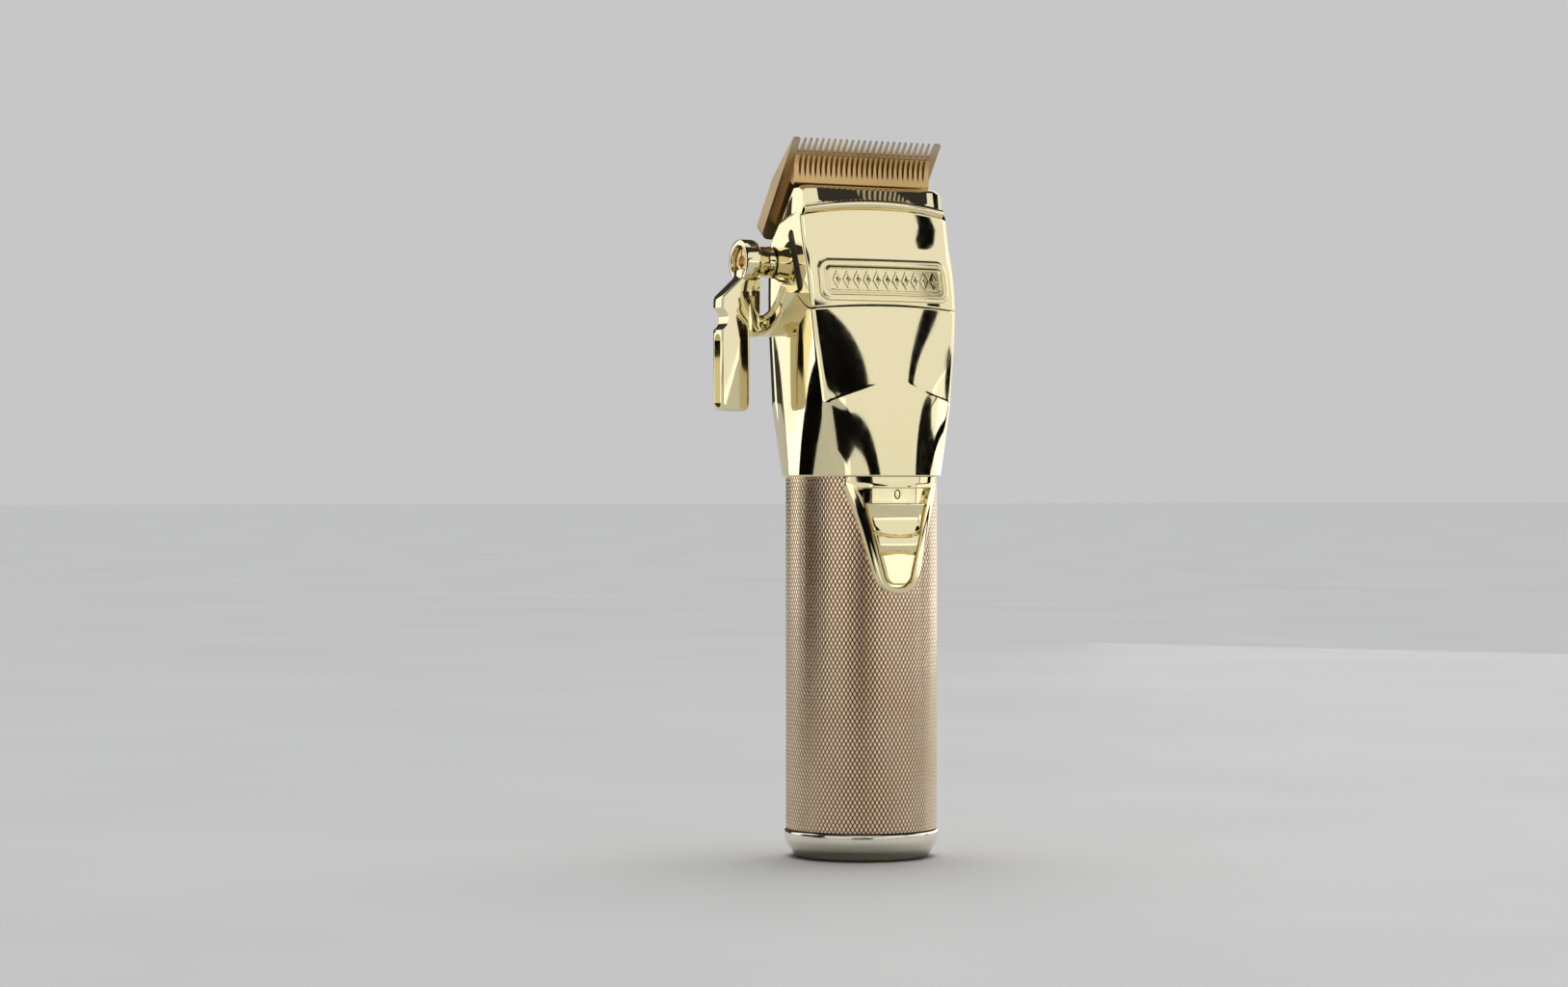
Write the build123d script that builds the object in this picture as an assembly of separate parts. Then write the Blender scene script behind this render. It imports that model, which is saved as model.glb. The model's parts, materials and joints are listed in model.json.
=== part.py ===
"""Cordless hair clipper with a taper lever, built as separate pieces in millimetres.

Frame: +Z runs up the handle to the blades, the front (nameplate and switch) faces -Y and the
taper lever is on the -X side. The origin is the centre of the ring the clipper stands on.
"""
import os
from math import cos, radians, sin

from build123d import *

# ---- Handle -------------------------------------------------------------------------------
SLEEVE_R = 20.7
SLEEVE_WALL = 1.9
SLEEVE_BOTTOM = 7.7
GASKET_TOP = 7.65
BEZEL_R = 21.1
BEZEL_FOOT_R = 18.1
BEZEL_HEIGHT = 7.3
BEZEL_CHAMFER_TOP = 4.5
BEZEL_BORE_R = 12.7
COLLAR_Z = 103.6
COLLAR_R = 21.7
CORE_R = 18.7
BAY_R = 12.4
BAY_WALL = 1.6
BAY_TOP = 92.0
CORE_TOP = 112.0

# ---- Body shell ---------------------------------------------------------------------------
SHELL_WALL = 1.8
CREASE_Z = 124.0
SEAM_Z = 149.0
PANEL_TOP_SIDE = 174.5
PANEL_TOP_MID = 176.5
LIP_HALF = 21.5
PLATE_Z = 156.8
PLATE_SIZE = (39.8, 11.6)
PLATE_BORDER = 1.6
PLATE_SEAT = 0.7
PLATE_FIELD = 0.25
SCREW_SPOTS = ((-9.0, 140.0), (9.0, 140.0))
SCREW_HEAD_R = 2.6


def on_collar(degrees):
    """(x, y) on the round lower edge of the body."""
    return (COLLAR_R * cos(radians(degrees)), COLLAR_R * sin(radians(degrees)))


# Outline stations of the body: height, front middle, front corner, side middle, start of the
# rear corner, middle of the rear corner, end of the rear corner, rear middle. Each is (x, y)
# on the +X half; the other half mirrors it.
STATIONS = (
    (COLLAR_Z, -COLLAR_R, on_collar(-35.8), on_collar(-8), on_collar(20), on_collar(40),
     on_collar(60), COLLAR_R),
    (124.0, -19.3, (19.6, -15.0), (22.0, -2.5), (21.6, 8.5), (19.6, 14.9), (14.5, 18.2), 20.4),
    (149.0, -15.5, (22.3, -13.2), (22.6, -3.0), (22.4, 10.0), (21.0, 14.6), (16.5, 17.4), 19.2),
    (159.0, -13.8, (22.5, -11.5), (22.7, -2.0), (22.4, 10.0), (21.0, 14.6), (16.5, 17.4), 19.2),
    (166.0, -11.4, (22.6, -9.2), (22.7, -1.0), (22.4, 10.0), (21.0, 14.6), (16.5, 17.4), 19.2),
    (174.5, -9.6, (22.6, -7.3), (22.7, 0.5), (22.4, 10.0), (21.0, 14.6), (16.5, 17.4), 19.2),
    (184.0, -8.6, (22.5, -6.2), (22.6, 1.0), (22.4, 10.0), (21.0, 14.6), (16.5, 17.4), 19.2),
)

# ---- Switch -------------------------------------------------------------------------------
TONGUE_END = 72.2
RECESS_FLOOR_R = 20.3
SLIDER_R = 21.9
SWITCH_TRAVEL = 3.5

# ---- Blades, in their own plane: s runs up the blade, t stands off its contact face ---------
BLADE_ROOT = (15.8, 169.1)
BLADE_TILT = 37.0
BLADE_LEN = 33.0
BLADE_THICK = 4.0
BLADE_HALF = 23.0
BEVEL_LEN = 15.6
TOOTH_GAPS = 23
TOOTH_PITCH = 1.83
TOOTH_GAP = 0.85
TOOTH_DEPTH = 4.6
CUTTER_START = 5.8
CUTTER_TIP = 27.8
CUTTER_HALF = 21.0
CUTTER_PLATE = 1.8
CUTTER_GAPS = 25
CUTTER_PITCH = 1.6
CUTTER_GAP = 0.72
RUN_GAP = 0.02
BACK_PLANE = 5.3
LIP_TOP = 21.4
BLADE_SCREW_S = 2.6
BLADE_SCREW_X = (-9.5, 9.5)
FOOT_ROUND = 2.5

# ---- Taper lever --------------------------------------------------------------------------
PIVOT = (10.4, 162.4)
EYE_R = 6.0
EYE_RECESS_R = 4.15
HUB_R = 4.15
EYE_OUT = -32.6
EYE_IN = -28.0
EYE_FLOOR = -30.0
SHAFT_R = 2.2
CRANK = 3.25
CRANK_PIN_R = 1.4
CRANK_FACE = -11.2
CRANK_START = -27.5
QUAD_IN = 14.7
QUAD_OUT = 20.4
QUAD_FACE = -26.6
QUAD_SPAN = (-12, 25, 63)
FINGER_FACE = -27.3
DETENTS = 5
LEVER_SWING = 55.0

# ---- Motor and drive ----------------------------------------------------------------------
MOTOR_R = 12.0
MOTOR_BOTTOM = 114.0
MOTOR_TOP = 146.0
ECCENTRIC = 1.5
DRIVE_PIN_R = 1.0
MOTOR_SHAFT_R = 1.5
CAM_R = 4.6
CAM_BOTTOM = 151.0
CAM_TOP = 158.2
STROKE = 1.5
YOKE_HALF = 5.6
YOKE_TOP = 166.6
YOKE_ROOF = 165.7

# ---- Battery ------------------------------------------------------------------------------
BATTERY_R = 12.3
BATTERY_BOTTOM = 0.8
BATTERY_TOP = 86.0
CELL_R = 9.25
CELL_LEN = 65.0
CELL_LOW = 9.0
SHELL_LOW = 6.0
SHELL_HIGH = 80.0
BATTERY_WALL = 1.6

parts = {}


def rod(radius, low, high, at=(0, 0)):
    """Solid cylinder standing between two heights."""
    return Pos(at[0], at[1], low) * Cylinder(
        radius, high - low, align=(Align.CENTER, Align.CENTER, Align.MIN)
    )


def ring(outer, inner, low, high, at=(0, 0)):
    """Tube standing between two heights."""
    return rod(outer, low, high, at) - rod(inner, low - 1, high + 1, at)


def rod_x(radius, low, high, at):
    """Solid cylinder along X, at (y, z)."""
    return Pos((low + high) / 2, at[0], at[1]) * Rot(0, 90, 0) * Cylinder(radius, high - low)


def rod_y(radius, low, high, at):
    """Solid cylinder along Y, at (x, z)."""
    return Pos(at[0], (low + high) / 2, at[1]) * Rot(90, 0, 0) * Cylinder(radius, high - low)


def block(x, y, z):
    """Box from three (low, high) pairs."""
    size = [pair[1] - pair[0] for pair in (x, y, z)]
    middle = [(pair[1] + pair[0]) / 2 for pair in (x, y, z)]
    return Pos(*middle) * Box(*size)


def slab_x(points, low, high):
    """Prism along X from an outline of (y, z) points."""
    outline = make_face(Polyline(*points, close=True))
    return Pos(low, 0, 0) * extrude(Plane.YZ * outline, high - low, dir=(1, 0, 0))


def slab_y(points, low, high):
    """Prism along Y from an outline of (x, z) points."""
    plane = Plane(origin=(0, high, 0), x_dir=(1, 0, 0), z_dir=(0, -1, 0))
    return extrude(plane * make_face(Polyline(*points, close=True)), high - low, dir=(0, -1, 0))


def on_blade(s, t):
    """(y, z) of a place in the blade's own plane."""
    up = (-sin(radians(BLADE_TILT)), cos(radians(BLADE_TILT)))
    off = (-cos(radians(BLADE_TILT)), -sin(radians(BLADE_TILT)))
    return (
        BLADE_ROOT[0] + s * up[0] + t * off[0],
        BLADE_ROOT[1] + s * up[1] + t * off[1],
    )


def blade_slab(points, low, high):
    """Prism along X from an outline given in the blade's plane."""
    return slab_x([on_blade(s, t) for s, t in points], low, high)


def blade_box(x, s, t):
    """Box lined up with the blade."""
    corners = [(s[0], t[0]), (s[1], t[0]), (s[1], t[1]), (s[0], t[1])]
    return blade_slab(corners, x[0], x[1])


def outline(station, inset=0.0):
    """Closed outline of the body at one station, drawn smaller by the inset."""
    z, front, corner, side, start, bend, end, rear = station
    k = 1 - inset / COLLAR_R

    def right(p):
        return (p[0] * k, p[1] * k, z)

    def left(p):
        return (-p[0] * k, p[1] * k, z)

    edges = [
        ThreePointArc(left(corner), (0, front * k, z), right(corner)),
        ThreePointArc(right(corner), right(side), right(start)),
        ThreePointArc(right(start), right(bend), right(end)),
        ThreePointArc(right(end), (0, rear * k, z), left(end)),
        ThreePointArc(left(end), left(bend), left(start)),
        ThreePointArc(left(start), left(side), left(corner)),
    ]
    return make_face(Wire(edges))


def body_form(inset=0.0):
    """The whole body as one solid, ruled from station to station."""
    return loft([outline(s, inset) for s in STATIONS], ruled=True)


def about_pivot(radius, degrees):
    """(y, z) at an angle round the lever pivot, from straight down towards the front."""
    return (
        PIVOT[0] - radius * sin(radians(degrees)),
        PIVOT[1] - radius * cos(radians(degrees)),
    )


# ---- Handle -------------------------------------------------------------------------------
bezel_line = [
    (BEZEL_BORE_R, 0.6),
    (BEZEL_BORE_R + 0.6, 0),
    (BEZEL_FOOT_R, 0),
    (BEZEL_R - 0.35, BEZEL_CHAMFER_TOP - 0.6),
    (BEZEL_R, BEZEL_CHAMFER_TOP + 0.3),
    (BEZEL_R, BEZEL_HEIGHT - 0.3),
    (BEZEL_R - 0.3, BEZEL_HEIGHT),
    (BEZEL_BORE_R, BEZEL_HEIGHT),
]
parts["end_bezel"] = revolve(Plane.XZ * make_face(Polyline(*bezel_line, close=True)))
parts["bezel_gasket"] = ring(SLEEVE_R - 0.5, CORE_R + 0.1, BEZEL_HEIGHT, GASKET_TOP)


def tongue_outline(grow=0.0):
    """Prism through the tongue of the body that lies over the front of the sleeve."""
    line = Polyline((-13.9 - grow, 108), (-13.9 - grow, COLLAR_Z), (-13.7 - grow, 100))
    left = Polyline((-13.7 - grow, 100), (-10.6 - grow, 90), (-7.2 - grow, 77.4))
    end = ThreePointArc((-7.2 - grow, 77.4), (0, TONGUE_END - grow), (7.2 + grow, 77.4))
    right = Polyline((7.2 + grow, 77.4), (10.6 + grow, 90), (13.7 + grow, 100))
    back = Polyline((13.7 + grow, 100), (13.9 + grow, COLLAR_Z), (13.9 + grow, 108))
    top = Line((13.9 + grow, 108), (-13.9 - grow, 108))
    face = make_face(Wire([*line.edges(), *left.edges(), *end.edges(), *right.edges(),
                           *back.edges(), top.edge()]))
    plane = Plane(origin=(0, 0, 0), x_dir=(1, 0, 0), z_dir=(0, -1, 0))
    return extrude(plane * face, 30, dir=(0, -1, 0))


def switch_outline(top, top_half, waist, waist_half, foot, foot_half, low):
    """Prism in the shape of the switch: wide at the top, narrow and round at the foot."""
    line = Polyline((-foot_half, foot), (-waist_half, waist), (-top_half, top),
                    (top_half, top), (waist_half, waist), (foot_half, foot))
    end = ThreePointArc((foot_half, foot), (0, low), (-foot_half, foot))
    plane = Plane(origin=(0, 0, 0), x_dir=(1, 0, 0), z_dir=(0, -1, 0))
    return extrude(plane * make_face(Wire([*line.edges(), end.edge()])), 30, dir=(0, -1, 0))


sleeve = ring(SLEEVE_R, SLEEVE_R - SLEEVE_WALL, SLEEVE_BOTTOM, COLLAR_Z)
parts["handle_sleeve"] = sleeve - tongue_outline(0.06)

bay = ring(BAY_R + BAY_WALL, BAY_R, BEZEL_HEIGHT, BAY_TOP + 0.5)
for low, high in ((BEZEL_HEIGHT, 11.0), (40.0, 43.0)):
    bay += ring(CORE_R, BAY_R, low, high)
bay += rod(CORE_R, BAY_TOP, BAY_TOP + 2)
bay += ring(CORE_R, CORE_R - 2.2, BAY_TOP, CORE_TOP)
parts["battery_bay"] = bay

# ---- Body shell ---------------------------------------------------------------------------
form = body_form()
cavity = body_form(SHELL_WALL) & block((-40, 40), (-40, 40), (108, 172.5))
cavity -= blade_box((-40, 40), (-5.2, 40), (-30, BACK_PLANE + 1.5))

throat = blade_box((-16, 16), (-3.4, 13), (-5, 12))
throat += blade_box((-9, 9), (-9.5, 0), (2.2, 12))
throat += blade_box((-20.6, -8), (-7.2, 2.6), (3.4, 13))

rear_edge = on_blade(-3.5, -1.8)
shoulder = [(-30, 100), (30, 100), (30, rear_edge[1]), rear_edge, on_blade(-3.5, BACK_PLANE),
            (10, 168.4), (5.3, 172.7), (-3.6, 175), (-3.6, 180), (-30, 180)]
wide = form & slab_x(shoulder, -30, 30)
arch = Wire([
    ThreePointArc((-24, PANEL_TOP_SIDE - 0.2), (0, PANEL_TOP_MID), (24, PANEL_TOP_SIDE - 0.2)),
    *Polyline((24, PANEL_TOP_SIDE - 0.2), (24, 190), (-24, 190),
              (-24, PANEL_TOP_SIDE - 0.2)).edges(),
])
arch_plane = Plane(origin=(0, -3.6, 0), x_dir=(1, 0, 0), z_dir=(0, -1, 0))
wide -= extrude(arch_plane * make_face(arch), 30, dir=(0, -1, 0))
lip_line = [on_blade(1, BACK_PLANE), on_blade(LIP_TOP, BACK_PLANE), (-7.7, 176.8), (-7.7, 168),
            (-2, 164)]
lip = slab_x(lip_line, -LIP_HALF, LIP_HALF) & form
whole = wide + lip
whole -= cavity
whole -= throat
whole -= rod(CORE_R + 0.05, 100, 112)

seam = [(-40, SEAM_Z), (-12.6, SEAM_Z), (-5.2, 152.6), (0.4, 156.6), (4.8, 157.1),
        (10.4, 158.6), on_blade(-3.5, 5.3), (30, 200), (-40, 200)]
cover_zone = slab_x(seam, -40, 40)
head = whole & cover_zone
housing = whole - cover_zone

tongue = ring(COLLAR_R, CORE_R + 0.05, 60, COLLAR_Z) & tongue_outline()
housing += tongue
recess = switch_outline(101.5, 11.6, 96.8, 9.3, 75.0, 4.2, 73.6)
housing -= recess & ring(40, RECESS_FLOOR_R, 60, 110)
housing -= block((-1.7, 1.7), (-25, -15), (80.5, 90.5))

# Nameplate seat and plate, standing on the front panel
plate_face = Plane(origin=(0, 0, PLATE_Z), x_dir=(1, 0, 0), z_dir=(0, -1, 0))
plate_prism = extrude(plate_face * RectangleRounded(*PLATE_SIZE, 3.0), 30, dir=(0, -1, 0))
plate = (form & plate_prism) - (body_form(PLATE_SEAT) & plate_prism)
plate &= block((-30, 30), (-30, -5), (145, 170))
head -= plate
field_size = [size - 2 * (PLATE_BORDER + 0.1) for size in PLATE_SIZE]
field_prism = extrude(plate_face * RectangleRounded(*field_size, 2.0), 30, dir=(0, -1, 0))
plate -= (form & field_prism) - (body_form(PLATE_FIELD) & field_prism)
parts["nameplate"] = plate

# Lever shaft bore, side grooves and screw seats
bore = rod_x(SHAFT_R + 0.05, -30, -10, PIVOT)
housing -= bore
head -= bore
for side in (-1, 1):
    groove = slab_x([(-1.2, 169.2), (-2.9, 169.8), (-8.2, 154.9), (-6.4, 154.3)],
                    side * 23.5 - 1.2, side * 23.5 + 1.2)
    head -= groove
for spot in SCREW_SPOTS:
    housing -= rod_y(SCREW_HEAD_R, 17.6, 30, spot)
    housing -= rod_y(1.3, 10, 30, spot)
parts["main_housing"] = housing
parts["head_cover"] = head
for name, spot in zip(("housing_screw_left", "housing_screw_right"), SCREW_SPOTS):
    screw = rod_y(SCREW_HEAD_R - 0.05, 17.65, 18.7, spot) + rod_y(1.25, 13.5, 17.8, spot)
    x, z = spot
    parts[name] = screw - block((x - 1.8, x + 1.8), (18.2, 19), (z - 0.3, z + 0.3))

# ---- Switch -------------------------------------------------------------------------------
slider_prism = switch_outline(96.5, 8.8, 92.0, 8.0, 75.6, 3.9, 74.4)
slider = ring(SLIDER_R, RECESS_FLOOR_R + 0.12, 70, 100) & slider_prism
slider -= rod_x(9.0, -15, 15, (-(SLIDER_R + 7.6), 92.2))
slider -= rod_x(0.35, -15, 15, (-(SLIDER_R + 0.1), 83.6))
slider += block((-1.3, 1.3), (-RECESS_FLOOR_R - 0.5, -18.2), (81.5, 86.0))
parts["switch_slider"] = slider

strip = ring(RECESS_FLOOR_R + 0.1, RECESS_FLOOR_R, 70, 110)
strip &= block((-9.2, 9.2), (-30, 0), (97.0, 100.6))
zero_plane = Plane(origin=(0, 0, 98.8), x_dir=(1, 0, 0), z_dir=(0, -1, 0))
zero = extrude(zero_plane * (Ellipse(0.95, 1.35) - Ellipse(0.55, 0.95)), 30, dir=(0, -1, 0))
parts["switch_plate"] = strip - zero

BOARD_FACE = -15.3
board = block((-8, 8), (BOARD_FACE, BOARD_FACE + 1.2), (66, BAY_TOP - 0.5))
parts["control_board"] = board - rod(BAY_R + BAY_WALL + 0.02, 60, BAY_TOP)
switch = block((-4.2, 4.2), (BOARD_FACE - 2.1, BOARD_FACE), (78, 91))
parts["slide_switch"] = switch - block((-1.4, 1.4), (-18, BOARD_FACE - 1.1), (80.6, 90.4))
parts["switch_tab"] = block((-1.1, 1.1), (-18.2, -16.6), (81.8, 85.7))

# ---- Battery cartridge ----------------------------------------------------------------------
parts["battery_shell"] = ring(BATTERY_R, BATTERY_R - BATTERY_WALL, SHELL_LOW, SHELL_HIGH)
plug_r = BATTERY_R - BATTERY_WALL - 0.05
foot = rod(BATTERY_R, BATTERY_BOTTOM, SHELL_LOW) + rod(plug_r, SHELL_LOW, CELL_LOW)
foot -= ring(11.4, 9.6, BATTERY_BOTTOM - 1, BATTERY_BOTTOM + 1.4)
foot -= rod(4.2, BATTERY_BOTTOM - 1, BATTERY_BOTTOM + 1.0)
parts["battery_foot_cap"] = foot
parts["battery_led_ring"] = ring(11.35, 9.65, BATTERY_BOTTOM + 0.1, BATTERY_BOTTOM + 1.4)
charge = rod(1.6, BATTERY_BOTTOM + 0.2, BATTERY_BOTTOM + 1.0)
charge += ring(4.0, 2.8, BATTERY_BOTTOM + 0.2, BATTERY_BOTTOM + 1.0)
parts["charge_contacts"] = charge
parts["battery_cell"] = rod(CELL_R, CELL_LOW + 0.02, CELL_LOW + CELL_LEN - 1.2)
parts["battery_cell"] += rod(3.0, CELL_LOW + CELL_LEN - 1.2, CELL_LOW + CELL_LEN)
crown = rod(BATTERY_R, SHELL_HIGH, BATTERY_TOP)
crown += rod(plug_r, CELL_LOW + CELL_LEN, SHELL_HIGH)
crown -= rod(3.2, BATTERY_TOP - 0.6, BATTERY_TOP + 1)
crown -= ring(9.2, 6.8, BATTERY_TOP - 0.6, BATTERY_TOP + 1)
parts["battery_crown_cap"] = crown
terminals = rod(3.1, BATTERY_TOP - 0.6, BATTERY_TOP)
terminals += ring(9.1, 6.9, BATTERY_TOP - 0.6, BATTERY_TOP)
parts["battery_terminals"] = terminals


def contact_spring(x):
    """One coil contact that presses on the top of the battery."""
    coil = Helix(pitch=1.3, height=5.2, radius=1.3)
    wire = sweep(Plane(origin=coil @ 0, z_dir=coil % 0) * Circle(0.25), path=coil)
    return Pos(x, 0, BATTERY_TOP + 0.3) * wire


springs = contact_spring(0) + contact_spring(8) + contact_spring(-8)
parts["contact_springs"] = springs

# ---- Motor and drive ------------------------------------------------------------------------
frame = rod(CORE_R - 0.1, CORE_TOP, MOTOR_BOTTOM)
frame += ring(MOTOR_R + 1.4, MOTOR_R + 0.03, CORE_TOP, 127)
frame -= rod(2.0, CORE_TOP - 1, MOTOR_BOTTOM + 1)
parts["motor_frame"] = frame
can = rod(MOTOR_R, MOTOR_BOTTOM, MOTOR_TOP) - rod(MOTOR_R - 0.8, MOTOR_BOTTOM + 1, MOTOR_TOP + 1)
parts["motor_can"] = can
cap = rod(MOTOR_R, MOTOR_TOP, MOTOR_TOP + 1.6) + rod(3.5, MOTOR_TOP + 1.6, MOTOR_TOP + 3.6)
cap += rod(MOTOR_R - 0.85, MOTOR_TOP - 1.5, MOTOR_TOP)
parts["motor_end_cap"] = cap - rod(1.55, MOTOR_TOP - 5, MOTOR_TOP + 5)
magnets = ring(MOTOR_R - 0.85, MOTOR_R - 2.8, MOTOR_BOTTOM + 3, MOTOR_TOP - 4)
for turn in (0, 90):
    magnets -= Rot(0, 0, turn + 45) * block((-20, 20), (-1.2, 1.2), (100, 160))
parts["motor_magnets"] = magnets
parts["motor_shaft"] = rod(MOTOR_SHAFT_R, MOTOR_BOTTOM + 2.2, 157)
rotor = ring(8.8, MOTOR_SHAFT_R, MOTOR_BOTTOM + 5, MOTOR_TOP - 6)
for turn in range(3):
    rotor -= Rot(0, 0, turn * 120) * block((6.4, 12), (-0.9, 0.9), (100, 160))
parts["motor_rotor"] = rotor
cam = rod(CAM_R, CAM_BOTTOM, CAM_TOP)
cam -= block((2.4, 6), (-6, 6), (150, 157.5)) & rod(6, 150, 157.5)
cam += rod(DRIVE_PIN_R, 157.5, 165.2, (-ECCENTRIC, 0))
cam -= rod(MOTOR_SHAFT_R, 150, 157)
parts["eccentric_cam"] = cam

slot_x = ECCENTRIC + DRIVE_PIN_R + STROKE + 0.1
slot_y = ECCENTRIC + DRIVE_PIN_R + 0.3
yoke = block((-YOKE_HALF, YOKE_HALF), (-4.6, 4.6), (161.2, YOKE_TOP))
yoke -= block((-slot_x, slot_x), (-slot_y, slot_y), (160, YOKE_ROOF))
fork_arm = blade_box((-2.2, 2.2), (7.5, 11.5), (CUTTER_PLATE + RUN_GAP, 15.4))
yoke += fork_arm - block((-9, 9), (-9, 9), (150, YOKE_ROOF))
yoke += blade_box((-12.0, 12.0), (7.2, 12.0), (CUTTER_PLATE + RUN_GAP, 3.2))
parts["drive_fork"] = yoke

# ---- Blades ---------------------------------------------------------------------------------
fixed_line = [(0, 0), (BLADE_LEN, 0), (BLADE_LEN, -0.3), (BLADE_LEN - BEVEL_LEN, -BLADE_THICK),
              (0, -BLADE_THICK)]
fixed = blade_slab(fixed_line, -BLADE_HALF, BLADE_HALF)
for i in range(TOOTH_GAPS):
    x = (i - (TOOTH_GAPS - 1) / 2) * TOOTH_PITCH
    fixed -= blade_box((x - TOOTH_GAP / 2, x + TOOTH_GAP / 2),
                       (BLADE_LEN - TOOTH_DEPTH, BLADE_LEN + 1), (-5, 1))


def blade_rod(radius, x, s, low, high):
    """Cylinder standing across the blade between two heights off its contact face."""
    y, z = on_blade(s, (low + high) / 2)
    return Pos(x, y, z) * Rot(-(90 - BLADE_TILT) + 180, 0, 0) * Cylinder(radius, high - low)


for side in (-1, 1):
    middle = side * (BLADE_HALF - FOOT_ROUND)
    outer = side * (BLADE_HALF + 1)
    corner = blade_box((min(middle, outer), max(middle, outer)), (-1, FOOT_ROUND), (-5, 1))
    fixed -= corner - blade_rod(FOOT_ROUND, middle, FOOT_ROUND, -6, 2)
carrier = blade_box((-13, 13), (0.2, 5.2), (0, 3.0))
arm = blade_box((-8.6, -4.6), (-3.9, 2.7), (2.4, 8.2))
pin_s = -2.1 + CRANK * sin(radians(-CRANK_START))
arm -= blade_box((-9, -4), (pin_s - CRANK_PIN_R - 0.06, pin_s + CRANK_PIN_R + 0.06), (3.4, 7.0))
carrier += arm
for x, name in zip(BLADE_SCREW_X, ("blade_screw_left", "blade_screw_right")):
    fixed -= blade_rod(1.55, x, BLADE_SCREW_S, -5, 1)
    fixed -= blade_rod(2.9, x, BLADE_SCREW_S, -6, -2.4)
    carrier -= blade_rod(1.5, x, BLADE_SCREW_S, -1, 4)
    screw = blade_rod(2.8, x, BLADE_SCREW_S, -3.9, -2.4) + blade_rod(1.5, x, BLADE_SCREW_S, -2.6, 2.6)
    screw -= blade_box((x - 2.0, x + 2.0), (BLADE_SCREW_S - 0.35, BLADE_SCREW_S + 0.35), (-5, -3.2))
    parts[name] = screw
parts["fixed_blade"] = fixed
parts["blade_carrier"] = carrier

cutter_line = [(CUTTER_START, RUN_GAP), (9.0, RUN_GAP), (9.6, 0.5), (19.6, 0.5), (20.2, RUN_GAP),
               (CUTTER_TIP, RUN_GAP), (CUTTER_TIP - 0.1, 0.3), (23.9, 2.65), (22.7, 3.3),
               (21.8, 4.2), (20.6, 4.2), (20.2, CUTTER_PLATE), (CUTTER_START, CUTTER_PLATE)]
cutter = blade_slab(cutter_line, -CUTTER_HALF, CUTTER_HALF)
for i in range(CUTTER_GAPS):
    x = (i - (CUTTER_GAPS - 1) / 2) * CUTTER_PITCH
    cutter -= blade_box((x - CUTTER_GAP / 2, x + CUTTER_GAP / 2), (23.2, CUTTER_TIP + 1), (-1, 5))
parts["cutter_blade"] = cutter

spring = blade_box((-12, 12), (14, 19), (4.6, BACK_PLANE - 0.02))
prong = [(9.2, 3.25), (10.6, 3.25), (15.0, 4.6), (15.0, 5.2), (14.0, 5.2), (10.2, 3.95),
         (9.2, 3.95)]
for low, high in ((-11, -5), (5, 11)):
    spring += blade_slab(prong, low, high)
parts["tension_spring"] = spring

# ---- Taper lever ----------------------------------------------------------------------------
quad_points = [about_pivot(QUAD_OUT, a) for a in QUAD_SPAN]
quad_inner = [about_pivot(QUAD_IN, a) for a in reversed(QUAD_SPAN)]
quad_wire = Wire([
    ThreePointArc(*quad_points),
    Line(quad_points[2], quad_inner[0]),
    ThreePointArc(*quad_inner),
    Line(quad_inner[2], quad_points[0]),
])
quadrant = Pos(QUAD_FACE, 0, 0) * extrude(Plane.YZ * make_face(quad_wire), 6, dir=(1, 0, 0))
quadrant -= form
pin_radius = (QUAD_IN + QUAD_OUT) / 2
for i in range(DETENTS):
    y, z = about_pivot(pin_radius, i * LEVER_SWING / (DETENTS - 1))
    quadrant -= rod_x(0.85, QUAD_FACE - 1, QUAD_FACE + 0.5, (y, z))
parts["detent_quadrant"] = quadrant

lever_line = [(-28.2, 157.0), (-32.6, 157.8), (-38.8, 152.2), (-38.8, 123.5), (-37.0, 121.5),
              (-32.2, 121.5), (-30.4, 123.5), (-30.4, 150.0), (-28.2, 154.0)]
arm_block = slab_y(lever_line, 7.5, 13.4)
arm_block += slab_y([(-28.2, 156), (-32.6, 157), (-32.6, 162), (-28.2, 162)], 7.5, 13.4)
eye = rod_x(EYE_R, EYE_OUT, EYE_IN, PIVOT)
finger_line = [(7.6, 157.6), (13.6, 157.6), (15.2, 153.5), (15.6, 149.5), (13.6, 145.2),
               (10.8, 142.2), (9.4, 141.7), (8.0, 142.8), (7.6, 146)]
finger = slab_x(finger_line, -30.5, FINGER_FACE)
lever = arm_block + eye + finger
lever -= rod_x(EYE_RECESS_R, EYE_OUT - 1, EYE_FLOOR, PIVOT)
lever -= rod_x(1.55, -40, -20, PIVOT)
lever -= block((-39.5, -38.0), (8.6, 12.3), (124.2, 142.0))
lever -= block((-39.5, -37.6), (8.0, 12.9), (143.0, 147.2))
pin_y, pin_z = about_pivot(pin_radius, 0)
lever -= rod_x(0.8, -29.0, -20, (pin_y, pin_z))
parts["taper_lever"] = lever
pin = rod_x(0.8, -29.0, -27.3, (pin_y, pin_z))
pin += rod_x(0.6, -27.3, QUAD_FACE - 0.08, (pin_y, pin_z))
parts["detent_pin"] = pin

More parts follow.
